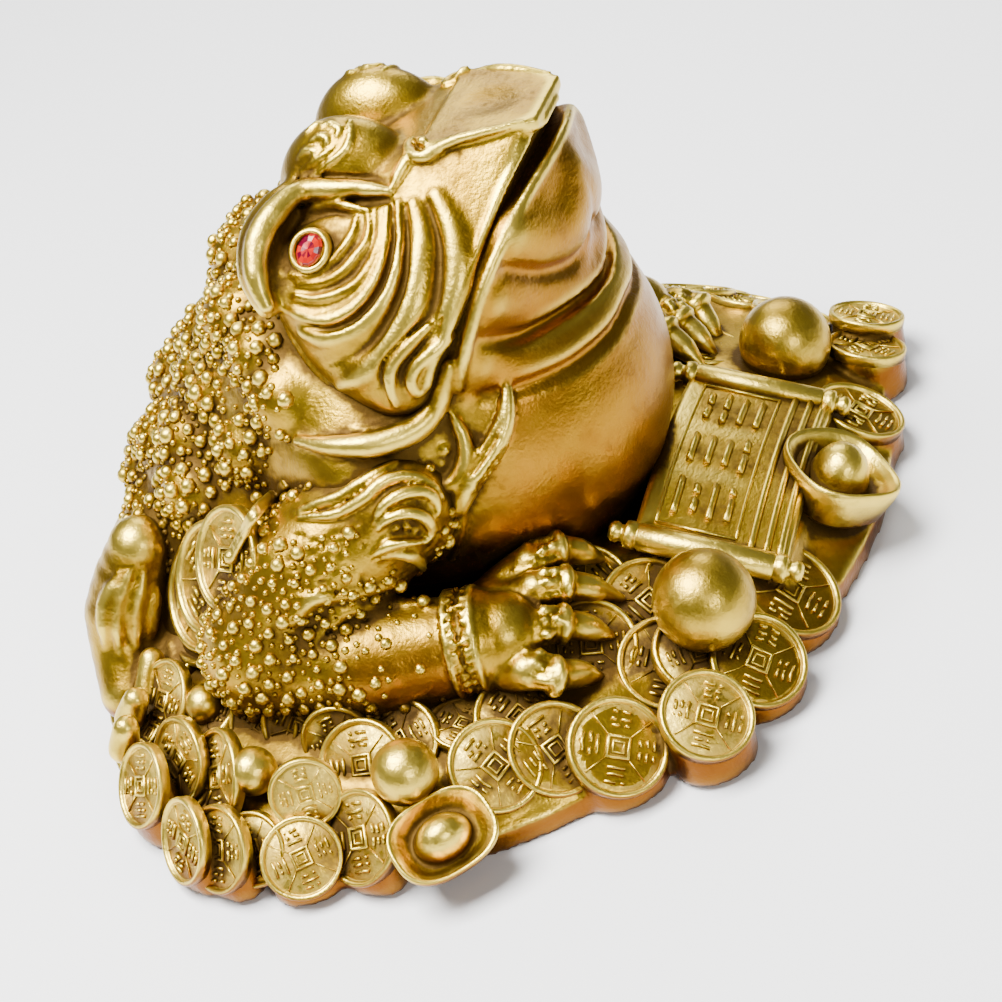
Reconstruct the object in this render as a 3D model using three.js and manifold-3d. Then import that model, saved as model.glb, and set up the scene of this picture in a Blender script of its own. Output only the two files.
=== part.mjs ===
// A three-legged money toad crouching on an oval mound of coins, cast in brass in one piece,
// with three red faceted stones set in it. Millimetres, +Z up. The toad looks along -Y and its
// left is +X. The origin is on the ground under the middle of the whole outline.
import * as THREE from 'three';
import { ConvexGeometry } from 'three/addons/geometries/ConvexGeometry.js';
import * as BufferGeometryUtils from 'three/addons/utils/BufferGeometryUtils.js';
import Module from 'manifold-3d';

const wasm = await Module();
wasm.setup();

// Driving dimensions of the base
const baseLong = 132.5;
const baseShort = 99;
const baseTurn = THREE.MathUtils.degToRad(-23);
const baseMiddle = new THREE.Vector3(-2.4, -2, 0);
const wallHeight = 3;
const moundHeight = 15;
const coinDiameter = 13.6;
const coinThickness = 2.2;
const coinRimWidth = 1.5;
const coinRimHeight = 0.7;
const coinSquare = 3.6;
const coinPitch = 13.2;
const coinTilt = THREE.MathUtils.degToRad(31);
const coinSides = 8;
const ingotLength = 17;
const ingotDepth = 10;
const ingotDish = 1.9;
const ballDiameter = 13;
const scrollWidth = 34;
const scrollLength = 18.5;
const scrollRod = 3.6;
const scrollSheet = 1.4;

// Driving dimensions of the toad: the pose is drawn on a figure poseHeight units high
const toadHeight = 72;
const poseHeight = 72;
const eyeStoneLength = 4.2;
const eyeStoneWidth = 3.1;
const backStoneDiameter = 3;
const stoneDepth = 2;
const stoneClearance = 0.3;
const colletWall = 1.1;

const unit = toadHeight / poseHeight;
const up = new THREE.Vector3(0, 0, 1);
const at = (x, y, z) => new THREE.Vector3(x, y, z).multiplyScalar(unit);
const radians = THREE.MathUtils.degToRad;

const brass = new THREE.MeshStandardMaterial({ color: 0xc39a3c, roughness: 0.38, metalness: 1 });
const redStone = new THREE.MeshStandardMaterial({ color: 0xc8141e, roughness: 0.08, metalness: 0 });

// Closed geometry to a solid and back
function solidOf(geometry) {
  const bare = geometry.index ? geometry.toNonIndexed() : geometry.clone();
  bare.deleteAttribute('normal');
  bare.deleteAttribute('uv');
  const merged = BufferGeometryUtils.mergeVertices(bare, 1e-4);
  return new wasm.Manifold(new wasm.Mesh({
    numProp: 3,
    vertProperties: Float32Array.from(merged.attributes.position.array),
    triVerts: Uint32Array.from(merged.index.array),
  }));
}

function geometryOf(solid) {
  const mesh = solid.getMesh();
  const geometry = new THREE.BufferGeometry();
  geometry.setAttribute('position', new THREE.BufferAttribute(mesh.vertProperties, 3));
  geometry.setIndex(new THREE.BufferAttribute(mesh.triVerts, 1));
  return geometry;
}

const joined = (solids) => solids.reduce((whole, solid) => whole.add(solid));

// Moves every vertex of a geometry by a function
function bent(geometry, move) {
  const position = geometry.attributes.position;
  const point = new THREE.Vector3();
  for (let index = 0; index < position.count; index += 1) {
    point.fromBufferAttribute(position, index);
    move(point);
    position.setXYZ(index, point.x, point.y, point.z);
  }
  return geometry;
}

// Sets a geometry made around +Z on a place, facing along a normal
function placed(geometry, centre, normal, spin = 0) {
  const turn = new THREE.Quaternion().setFromUnitVectors(up, normal.clone().normalize());
  geometry.rotateZ(spin);
  geometry.applyQuaternion(turn);
  return geometry.translate(centre.x, centre.y, centre.z);
}

function ellipsoid(centre, radii, around = 10, down = 7) {
  const geometry = new THREE.SphereGeometry(1, around, down);
  geometry.rotateX(Math.PI / 2);
  geometry.scale(radii.x, radii.y, radii.z);
  return geometry.translate(centre.x, centre.y, centre.z);
}

const ball = (centre, radius, around = 8, down = 5) => ellipsoid(
  centre,
  new THREE.Vector3(radius, radius, radius),
  around,
  down,
);

// A limb, ridge or claw: a tube along a smooth curve whose radius follows a list of values
function limb(points, radii, sides, steps) {
  const curve = new THREE.CatmullRomCurve3(points);
  const frames = curve.computeFrenetFrames(steps, false);
  const tube = new THREE.CylinderGeometry(1, 1, 1, sides, steps);
  return bent(tube, (point) => {
    const along = THREE.MathUtils.clamp(0.5 + point.y, 0, 1);
    const step = Math.round(along * steps);
    const place = (radii.length - 1) * along;
    const low = Math.min(Math.floor(place), radii.length - 2);
    const radius = unit * THREE.MathUtils.lerp(radii[low], radii[low + 1], place - low);
    const across = frames.binormals[step].clone().multiplyScalar(point.x * radius);
    const outward = frames.normals[step].clone().multiplyScalar(point.z * radius);
    point.copy(curve.getPoint(along)).add(across).add(outward);
  });
}

// The figure is symmetrical: each piece is made once and mirrored
function onBothSides(makeGeometry) {
  const right = solidOf(makeGeometry());
  return [right, right.mirror([1, 0, 0])];
}

// Base: an oval, turned a little under the toad
const longHalf = baseLong / 2;
const shortHalf = baseShort / 2;

function onOval(angle, share, height) {
  const point = new THREE.Vector3(
    longHalf * share * Math.cos(angle),
    shortHalf * share * Math.sin(angle),
    height,
  );
  return point.applyAxisAngle(up, baseTurn).add(baseMiddle);
}

// Share of the way from the middle of the base to its edge at a place
function shareAt(x, y) {
  const point = new THREE.Vector3(x, y, 0).sub(baseMiddle).applyAxisAngle(up, -baseTurn);
  return Math.hypot(point.x / longHalf, point.y / shortHalf);
}

function outwardAt(angle) {
  const point = new THREE.Vector3(Math.cos(angle) / longHalf, Math.sin(angle) / shortHalf, 0);
  return point.normalize().applyAxisAngle(up, baseTurn);
}

const coinShare = 1 - (0.5 * coinDiameter * Math.cos(coinTilt)) / (0.5 * (longHalf + shortHalf));
const ringLength = 2 * Math.PI * coinShare * Math.sqrt((longHalf ** 2 + shortHalf ** 2) / 2);
const ringCount = Math.round(ringLength / coinPitch);
const ringStart = radians(180);
const moundProfile = [[0.94, 0], [0.94, 1], [0.8, 3.1], [0.6, 4.4]];
const topOfProfile = 5;

// Its facets meet between the coins of the ring
function moundSolid() {
  const outline = moundProfile.map(([share, level], index) => new THREE.Vector2(
    share,
    index === 0 ? 0 : wallHeight + (moundHeight - wallHeight) * ((level - 1) / (topOfProfile - 1)),
  ));
  const profile = [new THREE.Vector2(0, 0), ...outline, new THREE.Vector2(0, moundHeight)];
  const mound = new THREE.LatheGeometry(profile, ringCount);
  mound.rotateX(Math.PI / 2);
  mound.rotateZ(ringStart + Math.PI / 2 + Math.PI / ringCount);
  mound.scale(longHalf, shortHalf, 1);
  mound.rotateZ(baseTurn);
  return solidOf(mound.translate(baseMiddle.x, baseMiddle.y, 0));
}

// Height of the mound at a share of the way from its middle to its edge
function moundTop(share) {
  const stops = [...moundProfile.slice(1)].reverse();
  const heights = stops.map(([, level]) => (
    wallHeight + (moundHeight - wallHeight) * ((level - 1) / (topOfProfile - 1))
  ));
  if (share <= stops[0][0]) {
    return heights[0];
  }
  const next = stops.findIndex(([stop]) => stop >= share);
  if (next < 0) {
    return wallHeight;
  }
  const along = (share - stops[next - 1][0]) / (stops[next][0] - stops[next - 1][0]);
  return THREE.MathUtils.lerp(heights[next - 1], heights[next], along);
}

// One coin: a disc with a bevelled, raised rim and a raised square in the middle, facing +Z
const coinRadius = coinDiameter / 2;

function coinGeometries() {
  const profile = [
    [0, -coinThickness],
    [coinRadius, -coinThickness],
    [coinRadius, 0],
    [coinRadius - coinRimWidth, -coinRimHeight],
    [0, -coinRimHeight],
  ].map(([radius, height]) => new THREE.Vector2(radius, height));
  const disc = new THREE.LatheGeometry(profile, coinSides);
  const square = new THREE.BoxGeometry(coinSquare, coinSquare, 2 * coinRimHeight);
  return [disc.rotateX(Math.PI / 2), square.translate(0, 0, -coinRimHeight)];
}

const coinSolids = (centre, normal, spin) => coinGeometries().map((geometry) => (
  solidOf(placed(geometry, centre, normal, spin))
));

// A coin on the edge of the base: its back is drawn straight down to the ground as a smooth wall
function edgeCoinSolids(centre, normal, spin) {
  const turn = new THREE.Quaternion().setFromUnitVectors(up, normal);
  const [disc, square] = coinGeometries();
  disc.rotateZ(spin);
  bent(disc, (point) => {
    const foot = point.z < -0.99 * coinThickness;
    point.z = foot ? 0 : point.z;
    point.applyQuaternion(turn).add(centre);
    point.z = foot ? 0 : point.z;
  });
  return [solidOf(disc), solidOf(placed(square, centre, normal, spin))];
}

// An ingot: a boat-shaped dish with a four-lobed rim and an oval dome, long along its own X
function ingotSolids(centre, normal, spin) {
  const half = ingotLength / 2;
  const rimWidth = 0.14;
  const profile = [
    [0, -ingotDepth],
    [0.6, -ingotDepth],
    [1, 0],
    [1 - rimWidth, 0],
    [0.7, -ingotDish],
    [0, -ingotDish],
  ].map(([share, height]) => new THREE.Vector2(half * share, height));
  const lobes = 0.07;
  const narrowing = 0.84;
  const dish = bent(new THREE.LatheGeometry(profile, 8).rotateX(Math.PI / 2), (point) => {
    const angle = Math.atan2(point.y, point.x);
    const swell = 1 + lobes * Math.cos(4 * angle);
    const rise = 0.16 * point.length() * Math.cos(angle) ** 2;
    point.set(point.x * swell, point.y * swell * narrowing, point.z + rise);
  });
  const dome = ellipsoid(
    new THREE.Vector3(0, 0, -ingotDish),
    new THREE.Vector3(0.52 * half, 0.45 * half, 0.42 * half),
    7,
    5,
  );
  return [dish, dome].map((geometry) => solidOf(placed(geometry, centre, normal, spin)));
}

// The ring of coins on the edge. Two of its places are taken by ingots
const sideIngotAngle = radians(220);
const frontIngotAngle = radians(295);
const ringHeight = 5.6;
const ringLift = 0.9;

function slopeNormal(angle, tilt) {
  const outward = outwardAt(angle).multiplyScalar(Math.sin(tilt));
  return outward.addScaledVector(up, Math.cos(tilt));
}

function nearIngot(angle, room) {
  return [sideIngotAngle, frontIngotAngle].some((ingot) => {
    const apart = Math.abs(Math.atan2(Math.sin(angle - ingot), Math.cos(angle - ingot)));
    return apart * (longHalf + shortHalf) / 2 < room;
  });
}

function edgeSolids() {
  const solids = [];
  for (let place = 0; place < ringCount; place += 1) {
    const angle = ringStart + (place * 2 * Math.PI) / ringCount;
    if (nearIngot(angle, 0.46 * ingotLength)) {
      continue;
    }
    const lift = place % 2 === 0 ? ringLift : 0;
    const centre = onOval(angle, coinShare, ringHeight + lift);
    solids.push(...edgeCoinSolids(centre, slopeNormal(angle, coinTilt), 0.4 * place));
  }
  return solids;
}

// A second row of coins, flatter and further in, where the toad doesn't cover the mound
const innerShare = 0.76;
const innerTilt = radians(20);
const innerAngles = [230, 243].map(radians);

function innerSolids() {
  return innerAngles.flatMap((angle, place) => {
    const height = moundTop(innerShare) + 0.6 + 0.5 * (place % 2);
    const centre = onOval(angle, innerShare, height);
    return coinSolids(centre, slopeNormal(angle, innerTilt), 0.7 * place);
  });
}

function ingotsSolids() {
  const front = onOval(frontIngotAngle, 0.87, 9);
  const side = onOval(sideIngotAngle, 0.95, 6.8);
  const frontTilt = radians(24);
  const sideTilt = radians(30);
  return [
    ...ingotSolids(front, slopeNormal(frontIngotAngle, frontTilt), radians(0)),
    ...ingotSolids(side, slopeNormal(sideIngotAngle, sideTilt), radians(100)),
  ];
}

// Balls lying on the mound: place, and size as a share of the big ones
const balls = [
  [-23.6, -35.4, 1],
  [29.5, -35.3, 1],
  [-50.5, -4.2, 0.7],
  [-51.7, 15.9, 0.5],
  [46, 14, 0.6],
];
const ballRise = 0.45;

const ballSolids = () => balls.map(([x, y, size]) => {
  const radius = (size * ballDiameter) / 2;
  const height = moundTop(shareAt(x, y)) + ballRise * radius;
  return solidOf(ball(new THREE.Vector3(x, y, height), radius));
});

// Scroll: an arched sheet between two rods that run down the front of the mound
const scrollInner = new THREE.Vector3(1, -25.3, 16.8);
const scrollOuter = new THREE.Vector3(scrollInner.x, scrollInner.y - scrollLength, 11.6);
const scrollArch = 3.2;

function scrollSolids() {
  const half = scrollWidth / 2;
  const fall = scrollOuter.z - scrollInner.z;
  const reach = scrollInner.y - scrollOuter.y;
  const along = (share) => scrollInner.clone().lerp(scrollOuter, share);
  const section = new THREE.Shape();
  const arcSteps = 8;
  for (let step = 0; step <= arcSteps; step += 1) {
    const x = half * (1 - (2 * step) / arcSteps);
    const z = scrollArch * (1 - (x / half) ** 2);
    if (step === 0) {
      section.moveTo(x, z);
    } else {
      section.lineTo(x, z);
    }
  }
  section.lineTo(-half, -scrollSheet - scrollArch);
  section.lineTo(half, -scrollSheet - scrollArch);
  const sheet = bent(new THREE.ExtrudeGeometry(section, { depth: 1, bevelEnabled: false }), (point) => {
    const place = along(point.z);
    point.set(place.x + point.x, place.y, place.z + point.y + scrollRod / 2 - 0.6);
  });
  const tilt = Math.atan2(fall, reach);
  const rods = [-half, half].flatMap((x) => {
    const length = Math.hypot(fall, reach) + 2;
    const knob = 0.6 * scrollRod;
    const stem = new THREE.CylinderGeometry(scrollRod / 2, scrollRod / 2, length, 8);
    const ends = [-1, 1].map((side) => {
      const end = new THREE.CylinderGeometry(0.62 * scrollRod, 0.62 * scrollRod, knob, 8);
      return end.translate(0, side * (length / 2 + knob / 2 - 0.2), 0);
    });
    const middle = along(0.5);
    return [stem, ...ends].map((geometry) => {
      geometry.rotateX(-tilt);
      return solidOf(geometry.translate(middle.x + x, middle.y, middle.z));
    });
  });
  return [solidOf(sheet), ...rods];
}

// Toad: the main masses as centre and radii
const masses = {
  rump: [at(0, 32, 5), at(34, 18, 24.5)],
  loins: [at(0, 23, 21), at(29.5, 21.5, 20)],
  back: [at(0, 7.5, 30), at(28.8, 26, 29)],
  belly: [at(0, -1.6, 28.3), at(26.6, 26.4, 25.9)],
  shoulders: [at(0, 3, 34), at(33, 14, 14)],
};

const bodyMiddle = at(0, 10, 28);

// Skin of the masses that a ray from the inside meets last
function skinAlong(origin, direction) {
  let farthest = 0;
  Object.values(masses).forEach(([centre, radii]) => {
    const start = origin.clone().sub(centre).divide(radii);
    const step = direction.clone().divide(radii);
    const a = step.dot(step);
    const b = start.dot(step);
    const under = b * b - a * (start.dot(start) - 1);
    if (under > 0) {
      farthest = Math.max(farthest, (-b + Math.sqrt(under)) / a);
    }
  });
  return origin.clone().addScaledVector(direction, farthest);
}

// The body is one skin wrapped round the masses
function bodySolid() {
  const skin = new THREE.SphereGeometry(1, 22, 14).rotateX(Math.PI / 2);
  return solidOf(bent(skin, (point) => point.copy(skinAlong(bodyMiddle, point.clone().normalize()))));
}

// Head: the hull of the cheeks, the forehead, the flat top of the snout and the upper lip
const upperLip = [
  [25, -9.5, 45.5], [24, -12, 49.5], [22, -14.5, 53], [19, -17, 56.8],
  [15.5, -18.6, 60], [11.5, -20, 63.2], [7, -21, 65.8], [3, -22, 67.2],
];
const lowerLip = [
  [25, -11.5, 44.5], [23.4, -14.5, 50], [20.6, -17.6, 55], [17, -20.4, 59.6],
  [12, -22.4, 62.6], [6.5, -23.4, 64.6],
];
const snoutTop = [[9, -7.5, 68.6], [7.5, -15, 69], [5, -21.4, 69]];
const headRounds = [
  [at(18.5, 1.5, 50), 8.2],
  [at(13, 3.5, 56.4), 6.8],
  [at(6, 8.5, 53.5), 10],
];

const mirrored = (points) => points.flatMap(([x, y, z]) => [at(x, y, z), at(-x, y, z)]);
const right = ([x, y, z]) => at(-x, y, z);

function pointsOfBalls(rounds) {
  return rounds.flatMap(([centre, radius]) => [1, -1].flatMap((side) => {
    const place = new THREE.Vector3(side * centre.x, centre.y, centre.z);
    const geometry = ball(place, radius * unit, 10, 6);
    const position = geometry.attributes.position;
    return Array.from({ length: position.count }, (_, index) => (
      new THREE.Vector3().fromBufferAttribute(position, index)
    ));
  }));
}

function headSolid() {
  const points = [
    ...mirrored(upperLip),
    ...mirrored(snoutTop),
    ...pointsOfBalls(headRounds),
  ];
  return solidOf(new ConvexGeometry(points));
}

function throatSolid() {
  const points = [
    ...mirrored(lowerLip),
    ...pointsOfBalls([[at(12, -6, 46), 12]]),
  ];
  return solidOf(new ConvexGeometry(points));
}

// Rolls and ridges of the head, each a curve and its radii
const browRidge = [[11.5, -4.2, 63.8], [14, 1.4, 66], [17, 8.6, 64], [20, 11.8, 60.2], [21.5, 11, 55.6]];
const upperLid = [[14.5, -4.2, 64], [17, 2.7, 65.2], [18.6, 5.9, 64.2], [20, 8, 62.1]];
const lowerLid = [[20.3, 8.1, 60.7], [22, 4.4, 57.4], [21.8, 0, 58.6], [19.8, -2.9, 62.9]];
const crescents = [
  [[15.5, -5.7, 64.8], [20.5, -6.6, 61.8], [23.5, -3.6, 57.1], [23, 4, 53.5], [21.5, 8.8, 54.7]],
  [[15.5, -9.4, 63.2], [21.5, -10.4, 59.6], [25, -7, 53.8], [25.5, 1.1, 49.5], [23, 7.5, 50.7]],
];
const jawRoll = [[25, -11.4, 47.8], [26, -9.9, 44.6], [26.5, -6.4, 40.6], [27, 0, 39.8], [26.5, 4.6, 42.9]];
const browDome = { centre: at(5.4, 3.4, 60.5), radii: at(5.8, 9.6, 11.2) };

function headTrim() {
  const roll = (points, radii, sides, steps) => onBothSides(() => (
    limb(points.map(right), radii, sides, steps)
  ));
  const ridge = (points) => roll(points, [0.3, 1, 1.2, 0.9, 0.3], 3, 5);
  return [
    ...roll(upperLip, [1.8, 1.7, 1.5, 1.5, 1.4], 4, 5),
    ...roll(browRidge, [0.8, 1.3, 1.5, 1.7, 1.9, 1.2], 5, 6),
    ...ridge(upperLid),
    ...ridge(lowerLid),
    ...crescents.flatMap(ridge),
    ...roll(jawRoll, [1.6, 2.4, 2.6, 2.4, 1.4], 4, 5),
    ...onBothSides(() => ellipsoid(browDome.centre, browDome.radii, 9, 6)),
  ];
}

// A whisker leaf behind each corner of the mouth curls up over the chest
const whisker = [[25.6, -3, 29], [24.6, -9, 34], [22.6, -15, 40], [21, -16.6, 45.5]];

const whiskerSolids = () => onBothSides(() => (
  limb(whisker.map(right), [1.3, 1.8, 1.5, 0.2], 4, 4)
));

// Arms: shoulder to elbow, elbow to wrist, a cuff, the palm, and four fingers with claws
const shoulder = [27, 1, 33];
const elbow = [38, 16.5, 16];
const wrist = [36.4, -8.4, 15.6];
const palm = [34.6, -14.6, 15.2];
const fingers = [
  { knuckle: [27, -17.6, 19.4], joint: [25.6, -20.6, 18.6], tip: [23, -24.6, 14.4] },
  { knuckle: [31, -19.4, 18], joint: [29.8, -22.6, 16.6], tip: [27.6, -27.4, 12.4] },
  { knuckle: [35.4, -20, 15.6], joint: [34.6, -23.4, 14], tip: [32.4, -27.6, 10] },
  { knuckle: [39, -18.6, 12.4], joint: [38.8, -22, 11], tip: [36.4, -26.8, 8.4] },
];

function armSolids() {
  const upperArm = () => limb([shoulder, [35, 10, 27], elbow].map(right), [10, 9.6, 8.6], 8, 3);
  const foreArm = () => limb([elbow, [39.4, 4, 14.6], wrist].map(right), [8.4, 7.6, 6], 8, 3);
  const cuff = () => limb([wrist, [35.6, -11.6, 15.4]].map(right), [7, 7], 8, 1);
  const parts = [
    ...onBothSides(upperArm),
    ...onBothSides(foreArm),
    ...onBothSides(() => ball(right(elbow), 9.2 * unit, 9, 6)),
    ...onBothSides(cuff),
    ...onBothSides(() => ellipsoid(right(palm), at(6.8, 7, 6), 8, 5)),
  ];
  fingers.forEach(({ knuckle, joint, tip }) => {
    const finger = () => limb([knuckle, joint, tip].map(right), [3.1, 2.6, 1.6, 0.3], 4, 3);
    parts.push(...onBothSides(finger));
  });
  return parts;
}

// Locks of the shoulder tuft, which flow back from the front of the shoulder
const tuftLocks = [
  [[28, -8, 39], [30.6, -2, 41], [31.8, 4, 40.6], [34, 11, 36]],
  [[30, -9, 35], [34, -3, 37.4], [35.4, 3, 37], [38, 9, 32]],
  [[30, -9.6, 30.6], [34.6, -5.6, 32.6], [37, 0, 32]],
];

const tuftSolids = () => tuftLocks.flatMap((points) => onBothSides(() => (
  limb(points.map(right), [2, 2.2, 1.5, 0.3], 4, 4)
)));

// The third leg comes down from the tail and rests beside it, with a fan of round toes
const tailLeg = [[0, 38, 13], [-9, 42.6, 13.4], [-18, 43.6, 11.6], [-26, 39.6, 9]];
const toes = [[-33, 40.4, 7], [-36, 36.4, 7.4], [-36.4, 32, 8], [-34.6, 28, 9]];

function tailLegSolids() {
  const thigh = limb(tailLeg.map(([x, y, z]) => at(x, y, z)), [7.4, 7, 6.4, 5.4], 8, 4);
  const parts = [solidOf(thigh)];
  toes.forEach(([x, y, z]) => {
    const root = at(...tailLeg[tailLeg.length - 1]);
    const start = root.clone().lerp(at(x, y, z), -0.2);
    parts.push(solidOf(limb([start, root, at(x, y, z)], [1, 2.6, 3.6, 1.8], 5, 3)));
  });
  return parts;
}

// A string of coins hangs down the right flank from a cord
const flankCoins = [[31.6, 18, 28.4], [34.4, 23, 21.6], [36, 27.6, 14.8]];
const flankNormal = new THREE.Vector3(-0.8, 0.42, 0.44);
const flankCord = [[27.6, 8, 43], [31.6, 12, 37], [33.4, 17, 32]];

function flankSolids() {
  const coins = flankCoins.flatMap((place) => coinSolids(right(place), flankNormal, 0.3));
  const cord = solidOf(limb(flankCord.map(right), [1.5, 1.5, 1.5], 4, 3));
  return [...coins, cord];
}

// Warty lumps: a spiral of points spread evenly over the back, big and small in turn
const lumpSpread = 60;
const goldenAngle = Math.PI * (3 - Math.sqrt(5));
const lumpRadii = [6.4, 5, 5.7];
const lumpSink = 0.72;

function lumpSolids() {
  const solids = [];
  for (let place = 0; place < lumpSpread; place += 1) {
    const rise = 1 - (2 * place + 1) / lumpSpread;
    const level = Math.sqrt(1 - rise * rise);
    const angle = place * goldenAngle;
    const direction = new THREE.Vector3(level * Math.cos(angle), level * Math.sin(angle), rise);
    const skin = skinAlong(bodyMiddle, direction);
    const behindHead = skin.y > 14 * unit;
    const aboveBase = skin.z > 20 * unit;
    if (behindHead && aboveBase) {
      const radius = lumpRadii[place % lumpRadii.length] * unit;
      const centre = skin.addScaledVector(direction, -lumpSink * radius);
      solids.push(solidOf(ball(centre, radius, 6, 4)));
    }
  }
  return solids;
}

// Stones: an oval cone-backed brilliant with a flat table, facing +Z, and the seat it leaves
function stone(length, width, growth) {
  const depth = stoneDepth + growth;
  const profile = [
    [0, -depth],
    [0.62, -depth],
    [1, -0.35 * stoneDepth],
    [1, -0.2 * stoneDepth],
    [0.6, 0.25 * stoneDepth],
    [0, 0.25 * stoneDepth],
  ].map(([share, height]) => new THREE.Vector2(share, height));
  const geometry = new THREE.LatheGeometry(profile, 12).rotateX(Math.PI / 2);
  return geometry.scale(length / 2 + growth, width / 2 + growth, 1);
}

// The seat is the girdle outline with clearance, open to the front
function seat(length, width) {
  const depth = stoneDepth + stoneClearance;
  const geometry = new THREE.CylinderGeometry(1, 1, 3 * depth, 12).rotateX(Math.PI / 2);
  geometry.scale(length / 2 + stoneClearance, width / 2 + stoneClearance, 1);
  return geometry.translate(0, 0, 3 * depth / 2 - depth);
}

const eyePlace = at(19.9, 4.3, 62);
const eyeNormal = new THREE.Vector3(0.74, -0.12, 0.66).normalize();
const backDirection = at(0, 43.7, 26).sub(bodyMiddle).normalize();
const backPlace = skinAlong(bodyMiddle, backDirection).addScaledVector(backDirection, 0.6 * unit);

const otherSide = new THREE.Vector3(-1, 1, 1);
const eyeSize = [eyeStoneLength, eyeStoneWidth];
const backSize = [backStoneDiameter, backStoneDiameter];

const stones = [
  {
    name: 'right_eye_gem',
    place: eyePlace.clone().multiply(otherSide),
    normal: eyeNormal.clone().multiply(otherSide),
    size: eyeSize,
    spin: radians(60),
  },
  { name: 'left_eye_gem', place: eyePlace, normal: eyeNormal, size: eyeSize, spin: radians(120) },
  { name: 'back_gem', place: backPlace, normal: backDirection, size: backSize, spin: 0 },
];

// Raised collets, so that every stone sits on metal
function colletSolids() {
  const depth = 2.6 * stoneDepth;
  return stones.map(({ place, normal, size, spin }) => {
    const geometry = new THREE.CylinderGeometry(1, 1.2, depth, 12).rotateX(Math.PI / 2);
    geometry.scale(size[0] / 2 + colletWall, size[1] / 2 + colletWall, 1);
    geometry.translate(0, 0, -0.52 * depth);
    return solidOf(placed(geometry, place, normal, spin));
  });
}

function toadSolid() {
  const figure = joined([
    bodySolid(),
    headSolid(),
    throatSolid(),
    ...headTrim(),
    ...whiskerSolids(),
    ...armSolids(),
    ...tuftSolids(),
    ...tailLegSolids(),
    ...flankSolids(),
    ...lumpSolids(),
    ...colletSolids(),
  ]).trimByPlane([0, 0, 1], wallHeight);
  const mound = joined([
    moundSolid(),
    ...edgeSolids(),
    ...innerSolids(),
    ...ingotsSolids(),
    ...ballSolids(),
    ...scrollSolids(),
  ]).trimByPlane([0, 0, 1], 0);
  const seats = joined(stones.map(({ place, normal, size, spin }) => (
    solidOf(placed(seat(...size), place, normal, spin))
  )));
  return figure.add(mound).subtract(seats);
}

const group = new THREE.Group();

const toad = new THREE.Mesh(geometryOf(toadSolid()), brass);
toad.name = 'money_toad';
group.add(toad);

stones.forEach(({ name, place, normal, size, spin }) => {
  const gem = new THREE.Mesh(geometryOf(solidOf(placed(stone(...size, 0), place, normal, spin))), redStone);
  gem.name = name;
  group.add(gem);
});

// The origin goes under the middle of the whole outline
const middle = new THREE.Box3().setFromObject(group).getCenter(new THREE.Vector3());
group.children.forEach((mesh) => mesh.geometry.translate(-middle.x, -middle.y, 0));

export default group;
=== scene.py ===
import math

import bmesh
import bpy
import numpy as np
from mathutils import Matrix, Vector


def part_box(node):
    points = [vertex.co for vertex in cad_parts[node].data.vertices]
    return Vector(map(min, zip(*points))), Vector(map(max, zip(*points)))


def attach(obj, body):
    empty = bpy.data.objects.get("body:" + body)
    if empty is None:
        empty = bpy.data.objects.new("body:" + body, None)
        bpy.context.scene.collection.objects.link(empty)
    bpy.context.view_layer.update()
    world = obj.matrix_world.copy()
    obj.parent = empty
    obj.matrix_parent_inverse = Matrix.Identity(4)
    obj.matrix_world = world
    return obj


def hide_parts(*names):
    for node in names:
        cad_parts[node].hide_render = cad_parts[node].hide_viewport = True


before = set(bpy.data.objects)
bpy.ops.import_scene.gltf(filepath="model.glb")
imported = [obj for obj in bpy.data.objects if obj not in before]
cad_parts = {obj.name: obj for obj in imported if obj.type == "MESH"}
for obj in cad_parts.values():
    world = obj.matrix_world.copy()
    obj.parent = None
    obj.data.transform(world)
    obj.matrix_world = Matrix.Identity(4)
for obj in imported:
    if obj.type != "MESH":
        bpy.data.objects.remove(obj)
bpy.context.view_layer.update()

import openvdb
from mathutils import Matrix, Vector

# The view: a little in front of the toad's right side, looking down, with the camera rolled.
MM = 0.001
MIDDLE = np.array([2.23, 1.84, 0.0])    # the toad's own zero, from the middle of the outline
VIEW_ROUND = math.radians(26.3)
VIEW_DOWN = math.radians(36.0)
VIEW_ROLL = math.radians(16.0)
VIEW_DISTANCE = 305.0
VIEW_TARGET = np.array([0.0, -1.0, 8.4]) + MIDDLE
SENSOR = 36.0
PICTURE = 1002
FOCAL_PIXELS = 2250

ahead = Vector((0, -1, 0))
leftward = Vector((1, 0, 0))
upward = Vector((0, 0, 1))
sideways = ahead * math.sin(VIEW_ROUND) - leftward * math.cos(VIEW_ROUND)
level_right = ahead * math.cos(VIEW_ROUND) + leftward * math.sin(VIEW_ROUND)
backward = sideways * math.cos(VIEW_DOWN) + upward * math.sin(VIEW_DOWN)
level_up = upward * math.cos(VIEW_DOWN) - sideways * math.sin(VIEW_DOWN)
picture_right = level_right * math.cos(VIEW_ROLL) - level_up * math.sin(VIEW_ROLL)
picture_up = level_right * math.sin(VIEW_ROLL) + level_up * math.cos(VIEW_ROLL)
camera = bpy.data.objects.new("camera", bpy.data.cameras.new("camera"))
camera.data.sensor_width = SENSOR
camera.data.lens = SENSOR * FOCAL_PIXELS / PICTURE
camera.data.clip_start = 0.01
camera.data.clip_end = 20.0
camera.matrix_world = Matrix((picture_right, picture_up, backward)).transposed().to_4x4()
camera.location = (Vector(VIEW_TARGET) + backward * VIEW_DISTANCE) * MM
bpy.context.scene.collection.objects.link(camera)
bpy.context.scene.camera = camera


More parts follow.
